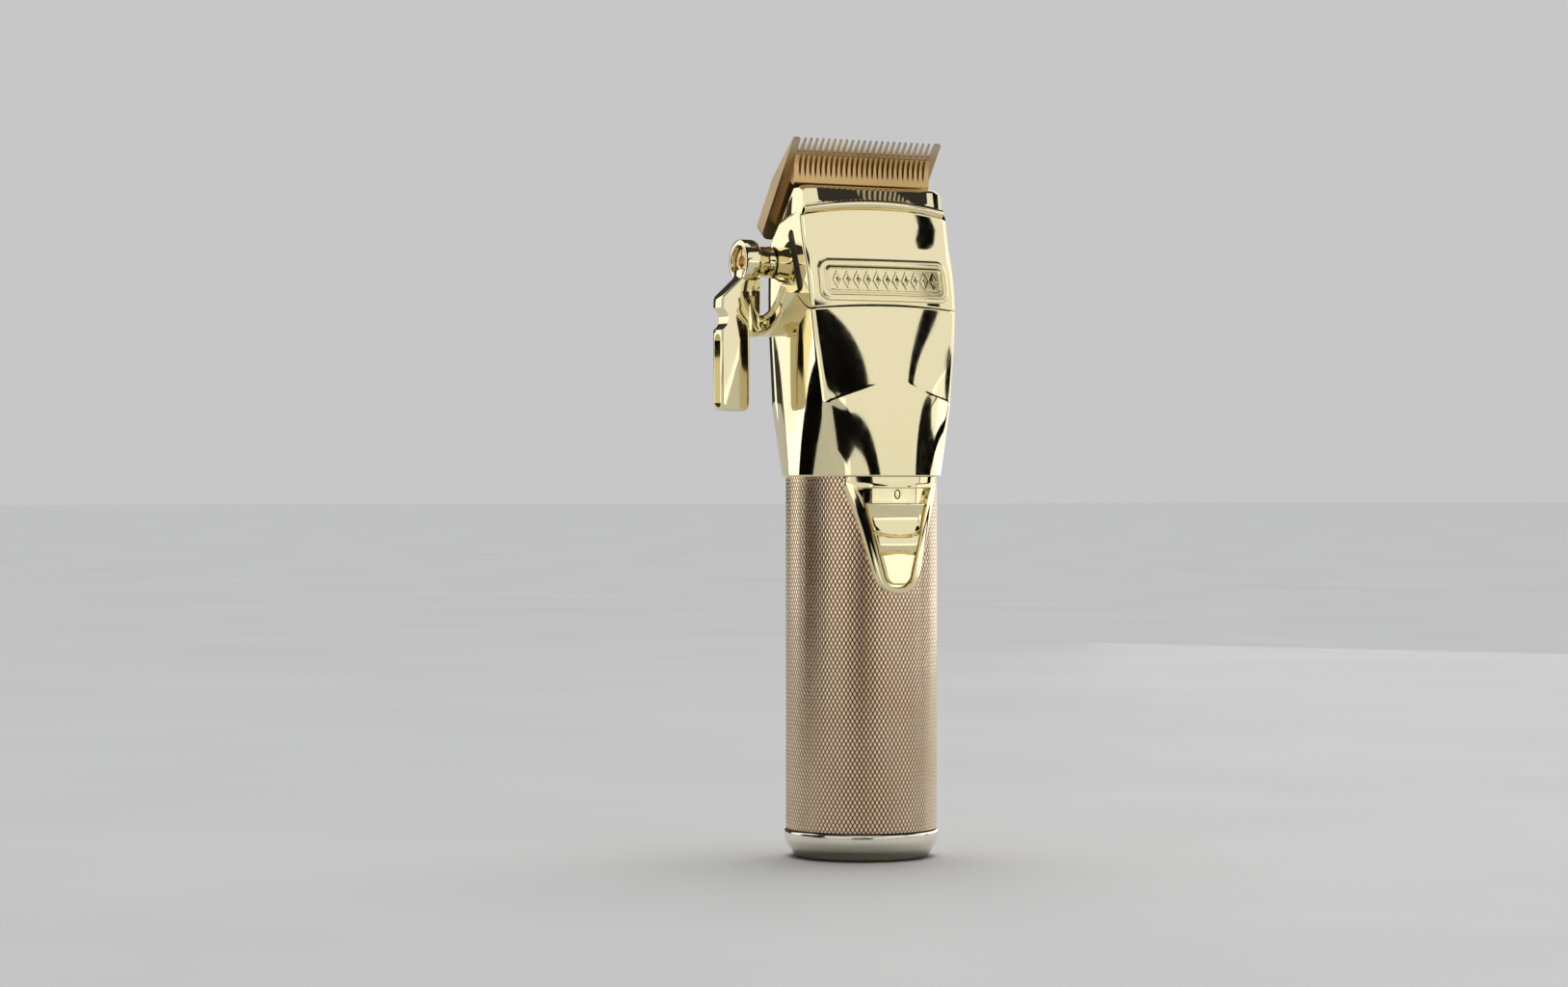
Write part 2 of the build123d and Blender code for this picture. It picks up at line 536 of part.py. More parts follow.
screw = rod_x(EYE_RECESS_R - 0.1, -31.2, EYE_FLOOR, PIVOT) + rod_x(1.5, EYE_FLOOR, -23.0, PIVOT)
screw -= rod_x(0.8, -32, -30.6, PIVOT)
parts["lever_screw"] = screw
shaft = rod_x(HUB_R, EYE_IN, -22.85, PIVOT) + rod_x(SHAFT_R, -23, -10.6, PIVOT)
crank_angle = radians(CRANK_START)
pin_at = on_blade(-2.1 - CRANK * sin(crank_angle), 8.35 - CRANK * cos(crank_angle))
web = rod_x(SHAFT_R + 0.1, CRANK_FACE, -9.4, PIVOT)
web += rod_x(CRANK_PIN_R, CRANK_FACE, -4.8, pin_at)
half = ((PIVOT[0] + pin_at[0]) / 2, (PIVOT[1] + pin_at[1]) / 2)
web += rod_x(CRANK_PIN_R + 0.35, CRANK_FACE, -9.4, half)
shaft += web
parts["lever_shaft"] = shaft - rod_x(1.5, -30, -23, PIVOT)
clip = rod_x(3.6, -20.2, -19.4, PIVOT) - rod_x(SHAFT_R, -21, -19, PIVOT)
parts["lever_clip"] = clip

os.makedirs("parts", exist_ok=True)
for name, shape in parts.items():
    shape.label = name
    export_step(shape, f"parts/{name}.step")
print(len(parts), "pieces written")
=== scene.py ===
"""Looks of the cordless hair clipper: sizes in millimetres, and in metres for the set round it."""

import json
from math import asin, atan2, cos, degrees, pi, radians, sin, sqrt, tan

import bmesh
import bpy
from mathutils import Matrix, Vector


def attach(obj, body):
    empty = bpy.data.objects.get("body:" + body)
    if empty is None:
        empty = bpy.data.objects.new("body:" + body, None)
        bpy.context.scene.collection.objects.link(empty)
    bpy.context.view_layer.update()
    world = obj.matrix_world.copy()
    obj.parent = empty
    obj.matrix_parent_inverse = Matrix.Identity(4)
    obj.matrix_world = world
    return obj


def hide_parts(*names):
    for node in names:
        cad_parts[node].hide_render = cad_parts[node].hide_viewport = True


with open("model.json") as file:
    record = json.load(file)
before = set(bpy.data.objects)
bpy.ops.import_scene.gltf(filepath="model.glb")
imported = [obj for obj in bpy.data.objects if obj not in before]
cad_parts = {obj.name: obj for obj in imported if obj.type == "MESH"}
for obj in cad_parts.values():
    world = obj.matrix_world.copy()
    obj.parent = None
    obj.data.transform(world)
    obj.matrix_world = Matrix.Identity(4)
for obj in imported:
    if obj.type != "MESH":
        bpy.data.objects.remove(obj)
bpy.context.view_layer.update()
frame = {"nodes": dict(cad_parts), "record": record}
MM = 0.001

# ---- Sizes shared with the CAD model ----
SLEEVE_R = 20.7
SLEEVE_LOW = 7.7
COLLAR_Z = 103.6
COLLAR_R = 21.7
CREASE_SIDE_Z = 123.6
CREASE_ARCH = 5.2
SEAM_CORNER_Z = 148.9
SEAM_ARCH = 1.1
PANEL_TOP_SIDE = 174.4
PANEL_ARCH = 2.0
LIP_HALF = 21.5
BACK_PLANE = 5.3
BLADE_ROOT = (15.8, 169.1)
BLADE_TILT = radians(37.0)
PIVOT = (10.4, 162.4)
RECESS_R = 20.3
TONGUE_END = 72.2
SHELL_WALL = 1.5

# ---- Sizes of the visual detail ----
JOINT_GAP = 0.12
LINING_INSET = 1.0
LINING_ROWS = (COLLAR_Z + 0.3, 110.0, 124.0, 140.0, 149.0)
CORNER_ROUND = 0.035
COLLAR_BULGE = 0.12
KNURL_AROUND = 108
KNURL_ROWS = 46
KNURL_DEPTH = 0.26
KNURL_FLAT = 0.68
KNURL_PEAK = 0.025
SLEEVE_CORE_R = SLEEVE_R - 0.4
SLEEVE_BORE_R = 18.8
SLEEVE_CORE_TOP = 71.0
REAR_SCREWS = ((-9.0, 140.0), (9.0, 140.0))
SIDE_GROOVE = ((-1.9, 169.0), (-7.0, 155.2))
PLATE_CENTRE_Z = 156.8
SLIDER_FOOT_R = RECESS_R + 0.15
SLIDER_LOW = 74.4
SLIDER_HIGH = 96.5


# ---- Mesh helpers ----
def linked_object(name, data):
    """A new object in the scene's collection."""
    obj = bpy.data.objects.new(name, data)
    bpy.context.collection.objects.link(obj)
    return obj


def new_mesh(name, verts, faces, unit=MM):
    """A mesh from points in millimetres, or in another unit."""
    mesh = bpy.data.meshes.new(name)
    mesh.from_pydata([tuple(c * unit for c in v) for v in verts], [], faces)
    return mesh


def new_object(name, verts, faces, material, body, slot, smooth_angle=35.0):
    """A mesh object from points in millimetres, riding on a CAD body."""
    mesh = new_mesh(name, verts, faces)
    mesh.validate()
    obj = linked_object(name, mesh)
    mesh.materials.append(material)
    tidy(obj, smooth_angle)
    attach(obj, body)
    return obj


def tidy(obj, smooth_angle):
    """Welds doubled points, turns faces outwards and shades smooth below an angle."""
    bm = bmesh.new()
    bm.from_mesh(obj.data)
    bmesh.ops.remove_doubles(bm, verts=bm.verts, dist=2e-6)
    bmesh.ops.recalc_face_normals(bm, faces=bm.faces)
    limit = radians(smooth_angle)
    for edge in bm.edges:
        sharp = len(edge.link_faces) == 2 and edge.calc_face_angle(0.0) > limit
        edge.smooth = not sharp
    for face in bm.faces:
        face.smooth = True
    bm.to_mesh(obj.data)
    bm.free()


def apply_modifiers(obj, smooth_angle=35.0):
    """Bakes the modifiers of an object into its own mesh."""
    depsgraph = bpy.context.evaluated_depsgraph_get()
    result = bpy.data.meshes.new_from_object(obj.evaluated_get(depsgraph))
    obj.modifiers.clear()
    old = obj.data
    obj.data = result
    bpy.data.meshes.remove(old)
    tidy(obj, smooth_angle)


def grid_faces(rows, columns, closed=False, offset=0):
    """Quads over a grid of points stored row by row."""
    faces = []
    for r in range(rows - 1):
        for c in range(columns if closed else columns - 1):
            a = offset + r * columns + c
            b = offset + r * columns + (c + 1) % columns
            faces.append((a, b, b + columns, a + columns))
    return faces


def bevelled(obj, width, segments=3, angle=30.0):
    """Rounds the hard edges of an object by a width in millimetres."""
    mod = obj.modifiers.new("bevel", "BEVEL")
    mod.width = width * MM
    mod.segments = segments
    mod.limit_method = "ANGLE"
    mod.angle_limit = radians(angle)
    apply_modifiers(obj)


def arc(centre, radius, start, stop, steps):
    """Points along an arc, with its angles in degrees."""
    return [(centre[0] + radius * cos(radians(start + (stop - start) * k / steps)),
             centre[1] + radius * sin(radians(start + (stop - start) * k / steps)))
            for k in range(steps + 1)]


def circle(centre, radius, turns=48):
    """Points evenly round a circle."""
    return [(centre[0] + radius * cos(2 * pi * k / turns),
             centre[1] + radius * sin(2 * pi * k / turns)) for k in range(turns)]


def capsule(a, b, r, steps=14):
    """Outline of a slot between two points."""
    turn = degrees(atan2(b[1] - a[1], b[0] - a[0]))
    return arc(b, r, turn - 90, turn + 90, steps) + arc(a, r, turn + 90, turn + 270, steps)


def lathe(profile, turns):
    """Points and faces of a (radius, z) outline turned round the vertical axis."""
    verts = [(x, y, z) for radius, z in profile for x, y in circle((0.0, 0.0), radius, turns)]
    return verts, grid_faces(len(profile), turns, closed=True)


def lathe_x(profile, centre, turns=96):
    """Points and faces of an (x, radius) outline turned round an axis along X."""
    verts = [(x, y, z) for x, radius in profile for y, z in circle(centre, radius, turns)]
    return verts, grid_faces(len(profile), turns, closed=True)


def along_x(u, v, w):
    """Places an outline drawn in the YZ plane."""
    return (w, u, v)


def along_y(u, v, w):
    """Places an outline drawn in the XZ plane."""
    return (u, w, v)


def along_z(u, v, w):
    """Places an outline drawn in the XY plane."""
    return (u, v, w)


def prism(points, low, high, place):
    """A closed prism from an outline, with place(u, v, w) giving each point."""
    n = len(points)
    verts = [place(u, v, w) for w in (low, high) for u, v in points]
    faces = [tuple(range(n)), tuple(range(2 * n - 1, n - 1, -1))]
    faces += [(k, (k + 1) % n, n + (k + 1) % n, n + k) for k in range(n)]
    return verts, faces


def cut(obj, cutter_verts, cutter_faces):
    """Cuts a closed form out of an object."""
    mesh = new_mesh("cutter", cutter_verts, cutter_faces)
    tool = linked_object("cutter", mesh)
    bm = bmesh.new()
    bm.from_mesh(mesh)
    bmesh.ops.recalc_face_normals(bm, faces=bm.faces)
    bm.to_mesh(mesh)
    bm.free()
    mod = obj.modifiers.new("cut", "BOOLEAN")
    mod.operation = "DIFFERENCE"
    mod.solver = "EXACT"
    mod.object = tool
    bpy.context.view_layer.update()
    apply_modifiers(obj)
    bpy.data.objects.remove(tool)
    bpy.data.meshes.remove(mesh)


def hermite(a, b, leave, arrive, t):
    """A value on the cubic from a to b, with its slopes at both ends over the whole step."""
    return ((2 * t**3 - 3 * t**2 + 1) * a + (t**3 - 2 * t**2 + t) * leave
            + (3 * t**2 - 2 * t**3) * b + (t**3 - t**2) * arrive)


def spline_run(p0, p1, p2, p3, steps):
    """Places from p1 towards p2 on the smooth line through four points, without p2 itself."""
    return [tuple(0.5 * (2 * b + (c - a) * t + (2 * a - 5 * b + 4 * c - d) * t * t
                         + (3 * b - a - 3 * c + d) * t**3)
                  for a, b, c, d in zip(p0, p1, p2, p3))
            for t in (k / steps for k in range(steps))]


def straight(points, u):
    """Value at u on the straight steps through (u, value) points, held beyond both ends."""
    if u <= points[0][0]:
        return points[0][1]
    for (u0, v0), (u1, v1) in zip(points, points[1:]):
        if u <= u1:
            return v0 + (v1 - v0) * (u - u0) / (u1 - u0)
    return points[-1][1]


# ---- The smooth body form ----
def collar_point(turn):
    """A place on the round collar by its angle from +X in degrees."""
    return (COLLAR_R * cos(radians(turn)), COLLAR_R * sin(radians(turn)))


# A station is the y of the front middle, then (x, y) of the front corner, the side middle and the
# start, middle and end of the rear corner, then the y of the rear middle, as in the CAD model.
COLLAR = (-COLLAR_R, *collar_point(-35.8), *collar_point(-8), *collar_point(20),
          *collar_point(40), *collar_point(60), COLLAR_R)
CREASE = (-19.3, 19.6, -15.0, 22.0, -2.5, 21.6, 8.5, 19.6, 14.9, 14.5, 18.2, 20.4)
REAR_BEND = (22.4, 10.0, 21.0, 14.6, 16.5, 17.4, 19.2)
UPPER = (
    (124.0, CREASE),
    (149.0, (-15.5, 22.3, -13.2, 22.6, -3.0, *REAR_BEND)),
    (159.0, (-13.8, 22.5, -11.5, 22.7, -2.0, *REAR_BEND)),
    (166.0, (-11.4, 22.6, -9.2, 22.7, -1.0, *REAR_BEND)),
    (174.5, (-9.6, 22.6, -7.3, 22.7, 0.5, *REAR_BEND)),
    (184.0, (-8.6, 22.5, -6.2, 22.6, 1.0, *REAR_BEND)),
)
ARC_STEPS = (72, 40, 14, 48, 14, 40)


def upper_numbers(z):
    """Station numbers at a height on the upper body, eased smoothly through the stations."""
    heights, rows = zip(*UPPER)
    last = len(heights) - 1
    z = min(max(z, heights[0]), heights[-1])
    k = max(i for i in range(last) if heights[i] <= z)
    span = heights[k + 1] - heights[k]
    t = (z - heights[k]) / span

    def slope(i, j):
        steps = [(rows[n + 1][j] - rows[n][j]) / (heights[n + 1] - heights[n])
                 for n in (i - 1, i) if 0 <= n < last]
        return sum(steps) / len(steps)

    return [hermite(rows[k][j], rows[k + 1][j], slope(k, j) * span, slope(k + 1, j) * span, t)
            for j in range(len(rows[0]))]


def crease_height(column):
    """Height of the crease: level on the sides, arched over the front face."""
    segment, t = column
    if segment != 0:
        return CREASE_SIDE_Z
    return CREASE_SIDE_Z + CREASE_ARCH * sin(pi * t) ** 1.2


def arc_point(a, m, b, t):
    """A place along the circular arc through three points, by its share of the arc."""
    (ax, ay), (bx, by), (cx, cy) = a, m, b
    d = 2 * (ax * (by - cy) + bx * (cy - ay) + cx * (ay - by))
    if abs(d) < 1e-9:
        return (ax + (cx - ax) * t, ay + (cy - ay) * t)
    a2, b2, c2 = ax**2 + ay**2, bx**2 + by**2, cx**2 + cy**2
    ux = (a2 * (by - cy) + b2 * (cy - ay) + c2 * (ay - by)) / d
    uy = (a2 * (cx - bx) + b2 * (ax - cx) + c2 * (bx - ax)) / d
    start = atan2(ay - uy, ax - ux)
    turn = (atan2(cy - uy, cx - ux) - start) % (2 * pi)
    middle = (atan2(by - uy, bx - ux) - start) % (2 * pi)
    if middle > turn:
        turn -= 2 * pi
    r = sqrt((ax - ux) ** 2 + (ay - uy) ** 2)
    return (ux + r * cos(start + turn * t), uy + r * sin(start + turn * t))


def body_point(column, z):
    """(x, y, z) on the outside of the body, for a column and a height."""
    crease = crease_height(column)
    if z <= crease:
        t = (z - COLLAR_Z) / (crease - COLLAR_Z)
        t += COLLAR_BULGE * t * (1 - t)
        n = [a + (b - a) * t for a, b in zip(COLLAR, CREASE)]
    else:
        lift = crease - UPPER[0][0]
        fade = max(0.0, 1 - (z - crease) / (UPPER[1][0] - crease))
        n = upper_numbers(z - lift * fade)
    front, rear = (0.0, n[0]), (0.0, n[11])
    corner, side, start, bend, end = [(n[i], n[i + 1]) for i in (1, 3, 5, 7, 9)]

    def left(p):
        return (-p[0], p[1])

    arcs = (
        (left(corner), front, corner), (corner, side, start), (start, bend, end),
        (end, rear, left(end)), (left(end), left(bend), left(start)),
        (left(start), left(side), left(corner)),
    )
    segment, t = column
    point = arc_point(*arcs[segment], t)
    near_start = t < CORNER_ROUND and segment in (0, 1)
    near_end = t > 1 - CORNER_ROUND and segment in (0, 5)
    if near_start or near_end:
        other = {(0, True): 5, (0, False): 1, (1, True): 0, (5, False): 0}[segment, near_start]
        reach = CORNER_ROUND if near_start else 1 - CORNER_ROUND
        here = arc_point(*arcs[segment], reach)
        there = arc_point(*arcs[other], 1 - reach)
        tip = arc_point(*arcs[segment], 0.0 if near_start else 1.0)
        s = (1 - (t if near_start else 1 - t) / CORNER_ROUND) / 2
        point = [(1 - s) ** 2 * h + 2 * s * (1 - s) * c + s * s * o
                 for h, c, o in zip(here, tip, there)]
    return (point[0], point[1], z)


def body_columns(segments):
    """Columns round the body through some of its six sides, closer together near corners."""
    columns = []
    for segment in segments:
        steps = ARC_STEPS[segment]
        shares = [CORNER_ROUND * k / 5 for k in range(5)]
        shares += [CORNER_ROUND + (1 - 2 * CORNER_ROUND) * k / steps for k in range(steps)]
        shares += [1 - CORNER_ROUND + CORNER_ROUND * k / 5 for k in range(5)]
        columns.extend((segment, t) for t in shares)
    return columns


def eased(points, y):
    """Height at y on a smooth line through (y, height) points, without overshoot."""
    if not points[0][0] < y < points[-1][0]:
        return straight(points, y)
    k = max(i for i in range(len(points) - 1) if points[i][0] <= y)

    def slope(i):
        if i in (0, len(points) - 1):
            return 0.0
        (y0, z0), (y1, z1), (y2, z2) = points[i - 1:i + 2]
        a, b = (z1 - z0) / (y1 - y0), (z2 - z1) / (y2 - y1)
        return 0.0 if a * b <= 0 else 2 * a * b / (a + b)

    span = points[k + 1][0] - points[k][0]
    return hermite(points[k][1], points[k + 1][1], slope(k) * span, slope(k + 1) * span,
                   (y - points[k][0]) / span)


def on_blade(s, t):
    """(y, z) of a place in the blade's own plane."""
    return (BLADE_ROOT[0] - s * sin(BLADE_TILT) - t * cos(BLADE_TILT),
            BLADE_ROOT[1] + s * cos(BLADE_TILT) - t * sin(BLADE_TILT))


REAR_NOTCH = on_blade(-3.5, BACK_PLANE)
REAR_EDGE = on_blade(-3.5, -1.8)
REAR_SLOPE = (REAR_EDGE[1] - REAR_NOTCH[1]) / (REAR_EDGE[0] - REAR_NOTCH[0])
SEAM_LINE = ((-12.6, SEAM_CORNER_Z), (-5.2, 152.6), (0.4, 156.6), (4.8, 157.1), (10.4, 158.6))
SHOULDER_LINE = ((-7.6, 174.5), (-3.6, 175.0), (5.3, 172.7), (10.0, 168.4), REAR_NOTCH)


def seam_height(x, y):
    """Height of the seam between the housing and the head cover."""
    if y < -12.0:
        share = min(1.0, abs(x) / 22.3)
        return SEAM_CORNER_Z + SEAM_ARCH * (1 - share**2)
    if y <= SEAM_LINE[-1][0]:
        return eased(SEAM_LINE, y)
    if y <= REAR_NOTCH[0]:
        return straight((SEAM_LINE[-1], REAR_NOTCH), y)
    return REAR_NOTCH[1] + REAR_SLOPE * (y - REAR_NOTCH[0])


def panel_top(x, y):
    """Height of the top edge of the head cover's outer skin."""
    if y < SHOULDER_LINE[0][0] + 0.3:
        share = min(1.0, abs(x) / 22.5)
        return PANEL_TOP_SIDE + PANEL_ARCH * (1 - share**2)
    return straight(SHOULDER_LINE, y)


def meet(column, height_at, guess):
    """The height where a column meets a line that depends on x and y."""
    z = guess
    for _ in range(12):
        x, y, _ = body_point(column, z)
        z = 0.5 * z + 0.5 * height_at(x, y)
    return z


def seam_at(column):
    """The height where a column meets the seam."""
    return meet(column, seam_height, 155.0)


def inset_point(column, z, inset, at_rim=False):
    """A place inside the body's outside, which also falls with the slope of the rear rim."""
    x, y, _ = body_point(column, z)
    size = sqrt(x * x + y * y)
    if at_rim and y >= REAR_NOTCH[0]:
        z -= REAR_SLOPE * inset * y / size
    return (x - x / size * inset, y - y / size * inset, z)


# ---- Materials ----
def fill(tree, node, inputs):
    """Sets the inputs of a node, each to a plain value or by a link from a socket."""
    for key, value in inputs.items():
        if isinstance(value, bpy.types.NodeSocket):
            tree.links.new(value, node.inputs[key])
        else:
            node.inputs[key].default_value = value


def add_node(tree, kind, inputs, operation=None):
    """A shader node of a kind, with its inputs filled."""
    node = tree.nodes.new("ShaderNode" + kind)
    if operation:
        node.operation = operation
    fill(tree, node, inputs)
    return node


def principled(name):
    """A new material, its node tree and its shader."""
    material = bpy.data.materials.new(name)
    material.use_nodes = True
    return material, material.node_tree, material.node_tree.nodes["Principled BSDF"]


def own_place(tree):
    """The socket of an object's own coordinates."""
    return add_node(tree, "TexCoord", {}).outputs["Object"]


def noise(tree, scale, detail=3.0, stretch=(1, 1, 1)):
    """A grey noise over the object's own coordinates, in cells per metre."""
    mapping = add_node(tree, "Mapping", {"Vector": own_place(tree), "Scale": stretch})
    texture = add_node(tree, "TexNoise", {"Vector": mapping.outputs["Vector"], "Scale": scale,
                                          "Detail": detail})
    return texture.outputs["Fac"]


def ramp(tree, source, low, high, start=0.3, stop=0.7):
    """Maps a grey source to a range of values or colours."""
    node = add_node(tree, "ValToRGB", {"Fac": source})
    for element, value, position in zip(node.color_ramp.elements, (low, high), (start, stop)):
        element.position = position
        element.color = (*value, 1) if isinstance(value, tuple) else (value, value, value, 1)
    return node.outputs["Color"]


def bump(tree, shader, source, strength, distance):
    """Gives a shader's surface the relief of a grey source."""
    node = add_node(tree, "Bump", {"Height": source, "Strength": strength,
                                   "Distance": distance})
    fill(tree, shader, {"Normal": node.outputs["Normal"]})


def metal(name, dark, light, rough, rough_spread, grain, grain_bump, stretch=(1, 1, 1), wear=40.0):
    """A metal with a slow tone change, a roughness that varies and a fine surface grain."""
    material, tree, shader = principled(name)
    fine = noise(tree, grain, 4.0, stretch)
    fill(tree, shader, {"Metallic": 1.0,
                        "Base Color": ramp(tree, noise(tree, wear), dark, light),
                        "Roughness": ramp(tree, fine, rough, rough + rough_spread)})
    if grain_bump:
        bump(tree, shader, fine, grain_bump, 2e-5)
    return material


def plastic(name, dark, light, rough, grain=900.0, strength=0.15, extra=None):
    """A moulded plastic or rubber with a fine matt grain."""
    material, tree, shader = principled(name)
    fine = noise(tree, grain, 4.0)
    fill(tree, shader, {"Base Color": ramp(tree, noise(tree, 60.0), dark, light),
                        "Roughness": ramp(tree, fine, rough * 0.85, min(1.0, rough * 1.15))})
    bump(tree, shader, fine, strength, 3e-5)
    fill(tree, shader, extra or {})
    return material


def maths(tree, operation, *values):
    """The result of a maths node whose inputs are sockets or plain numbers."""
    return add_node(tree, "Math", dict(enumerate(values)), operation).outputs[0]


def mixed(tree, share, first, second):
    """The colour between two colours, by a share."""
    node = add_node(tree, "MixRGB", {"Fac": share, "Color1": first, "Color2": second})
    return node.outputs["Color"]


def knurled(name, painted_groove_shade, dark, light, rough):
    """Sleeve metal with painted shade in its crossing grooves, laid out as on the mesh."""
    material, tree, shader = principled(name)
    axes = add_node(tree, "SeparateXYZ", {0: own_place(tree)}).outputs
    turn = maths(tree, "ARCTAN2", axes["X"], maths(tree, "MULTIPLY", axes["Y"], -1.0))
    around = maths(tree, "MULTIPLY", turn, KNURL_AROUND / (2 * pi))
    row = (COLLAR_Z - SLEEVE_LOW) / KNURL_ROWS * MM
    up = maths(tree, "DIVIDE", maths(tree, "SUBTRACT", axes["Z"], SLEEVE_LOW * MM), row)
    reach = []
    for operation in ("ADD", "SUBTRACT"):
        lane = maths(tree, operation, around, up)
        reach.append(maths(tree, "PINGPONG", maths(tree, "ADD", lane, 0.5), 0.5))
    # Painted shade: the groove colour covers the metal along the crossing groove lines.
    groove_shade_share = ramp(tree, maths(tree, "MINIMUM", *reach), 0.0, 1.0, 0.03, 0.17)
    base = ramp(tree, noise(tree, 60.0), dark, light)
    fine = noise(tree, 2600.0, 4.0)
    fill(tree, shader, {"Metallic": 1.0, "Base Color": mixed(tree, groove_shade_share, (*painted_groove_shade, 1), base),
                        "Roughness": ramp(tree, fine, rough, rough + 0.1)})
    bump(tree, shader, fine, 0.08, 1.5e-5)
    return material


CHROME = metal("gold_chrome", (0.84, 0.75, 0.46), (0.87, 0.78, 0.50), 0.035, 0.03, 500.0, 0.0,
               wear=14.0)
INSIDE = plastic("shell_inside", (0.012, 0.011, 0.010), (0.02, 0.018, 0.016), 0.6)
ROSE = metal("rose_core", (0.62, 0.44, 0.33), (0.70, 0.52, 0.40), 0.30, 0.12, 2600.0, 0.10)
# The first colour is painted shade for the knurl's grooves.
KNURL = knurled("rose_knurl", (0.24, 0.14, 0.07), (0.88, 0.69, 0.47), (0.94, 0.77, 0.56), 0.15)
BEZEL = metal("bezel_brushed", (0.80, 0.75, 0.62), (0.87, 0.82, 0.70), 0.07, 0.06, 420.0, 0.08,
              stretch=(1, 1, 40))
PLATE = metal("plate_satin", (0.80, 0.70, 0.42), (0.86, 0.76, 0.48), 0.13, 0.10, 3000.0, 0.10)
BLADE = metal("blade_titanium", (0.44, 0.32, 0.17), (0.54, 0.40, 0.23), 0.30, 0.14, 1400.0, 0.25,
              stretch=(1, 6, 6))


def worn_tips(material):
    """Turns the coating of the fixed blade to bare steel towards the tips of its teeth."""
    tree = material.node_tree
    shader = tree.nodes["Principled BSDF"]
    coat = shader.inputs["Base Color"].links[0].from_socket
    bare_from, bare_to = 28.0, 31.5
    up_blade = (0.0, -sin(BLADE_TILT), cos(BLADE_TILT))
    along = add_node(tree, "VectorMath", {0: own_place(tree), 1: up_blade}, "DOT_PRODUCT")
    root = -BLADE_ROOT[0] * sin(BLADE_TILT) + BLADE_ROOT[1] * cos(BLADE_TILT)
    share = add_node(tree, "MapRange", {
        "Value": along.outputs["Value"], "From Min": (root + bare_from) * MM,
        "From Max": (root + bare_to) * MM, "To Max": 0.8})
    steel = (0.50, 0.45, 0.38, 1)
    fill(tree, shader, {"Base Color": mixed(tree, share.outputs["Result"], coat, steel)})


worn_tips(BLADE)
CUTTER = metal("cutter_titanium", (0.52, 0.35, 0.15), (0.63, 0.44, 0.20), 0.28, 0.14, 1500.0,
               0.25, stretch=(6, 1, 1))
STEEL = metal("turned_steel", (0.55, 0.55, 0.56), (0.68, 0.68, 0.68), 0.22, 0.12, 900.0, 0.2,
              stretch=(1, 1, 12))
DARK_STEEL = metal("dark_steel", (0.12, 0.12, 0.125), (0.2, 0.2, 0.2), 0.3, 0.12, 900.0, 0.2)
BRASS = metal("contact_brass", (0.74, 0.54, 0.22), (0.84, 0.66, 0.34), 0.22, 0.12, 900.0, 0.2)
SCREW = metal("screw_gold", (0.72, 0.50, 0.22), (0.86, 0.64, 0.33), 0.22, 0.14, 1200.0, 0.3,
              stretch=(1, 8, 1))
BLACK = plastic("black_plastic", (0.010, 0.010, 0.011), (0.02, 0.02, 0.021), 0.42)
RUBBER = plastic("gasket_rubber", (0.012, 0.012, 0.012), (0.03, 0.03, 0.03), 0.75)
BOARD = plastic("green_board", (0.01, 0.09, 0.04), (0.02, 0.16, 0.07), 0.35, 400.0)
WHITE = plastic("white_plastic", (0.72, 0.72, 0.69), (0.82, 0.82, 0.79), 0.4)
CELL = plastic("cell_wrap", (0.015, 0.07, 0.42), (0.03, 0.13, 0.60), 0.22, 700.0, 0.05)
CLEAR = plastic("smoky_tube", (0.30, 0.33, 0.37), (0.36, 0.39, 0.43), 0.08, 300.0, 0.02,
                {"Transmission Weight": 1.0, "IOR": 1.49})
GLOW = plastic("light_ring", (0.20, 0.22, 0.85), (0.30, 0.32, 0.95), 0.3, 500.0, 0.05,
               {"Emission Color": (0.25, 0.27, 1.0, 1.0), "Emission Strength": 1.5})

SLOT_LOOKS = {
    "bezel": BEZEL, "gasket": RUBBER, "sleeve": ROSE, "gold_chrome": CHROME,
    "nameplate": PLATE, "switch_gold": CHROME, "switch_strip": CHROME, "black_plastic": BLACK,
    "board": BOARD, "brass": BRASS, "steel": STEEL, "dark_steel": DARK_STEEL,
    "blade_gold": BLADE, "cutter_gold": CUTTER, "screw_gold": SCREW, "clear_tube": CLEAR,
    "cell_wrap": CELL, "led_ring": GLOW, "white_plastic": WHITE,
}
for part in frame["record"]["subparts"]:
    node = frame["nodes"][part["node"]]
    node.data.materials.clear()
    node.data.materials.append(SLOT_LOOKS[part["material_slot"]])


# ---- Handle ----
def make_bezel():
    """The turned end ring with rounded edges."""
    profile = [(12.7, 7.3), (12.7, 0.7), (12.85, 0.35), (13.2, 0.05), (13.6, 0.0), (17.6, 0.0),
               (18.0, 0.06), (18.35, 0.3), (20.55, 3.4), (20.95, 4.1), (21.08, 4.8),
               (21.1, 5.2), (21.1, 6.6), (21.05, 6.95), (20.85, 7.2), (20.6, 7.3)]
    obj = new_object("bezel_ring", *lathe(profile, 240), BEZEL, "handle", "bezel", 50)
    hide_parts("end_bezel")


def tongue_half_width(z):
    """Half width of the tongue at a height, or a negative number below its end."""
    if z <= TONGUE_END:
        return -1.0
    return straight(((TONGUE_END, 0.0), (73.0, 3.4), (74.6, 5.6), (77.4, 7.2), (90.0, 10.6),
                     (100.0, 13.7), (COLLAR_Z, 13.9)), z)


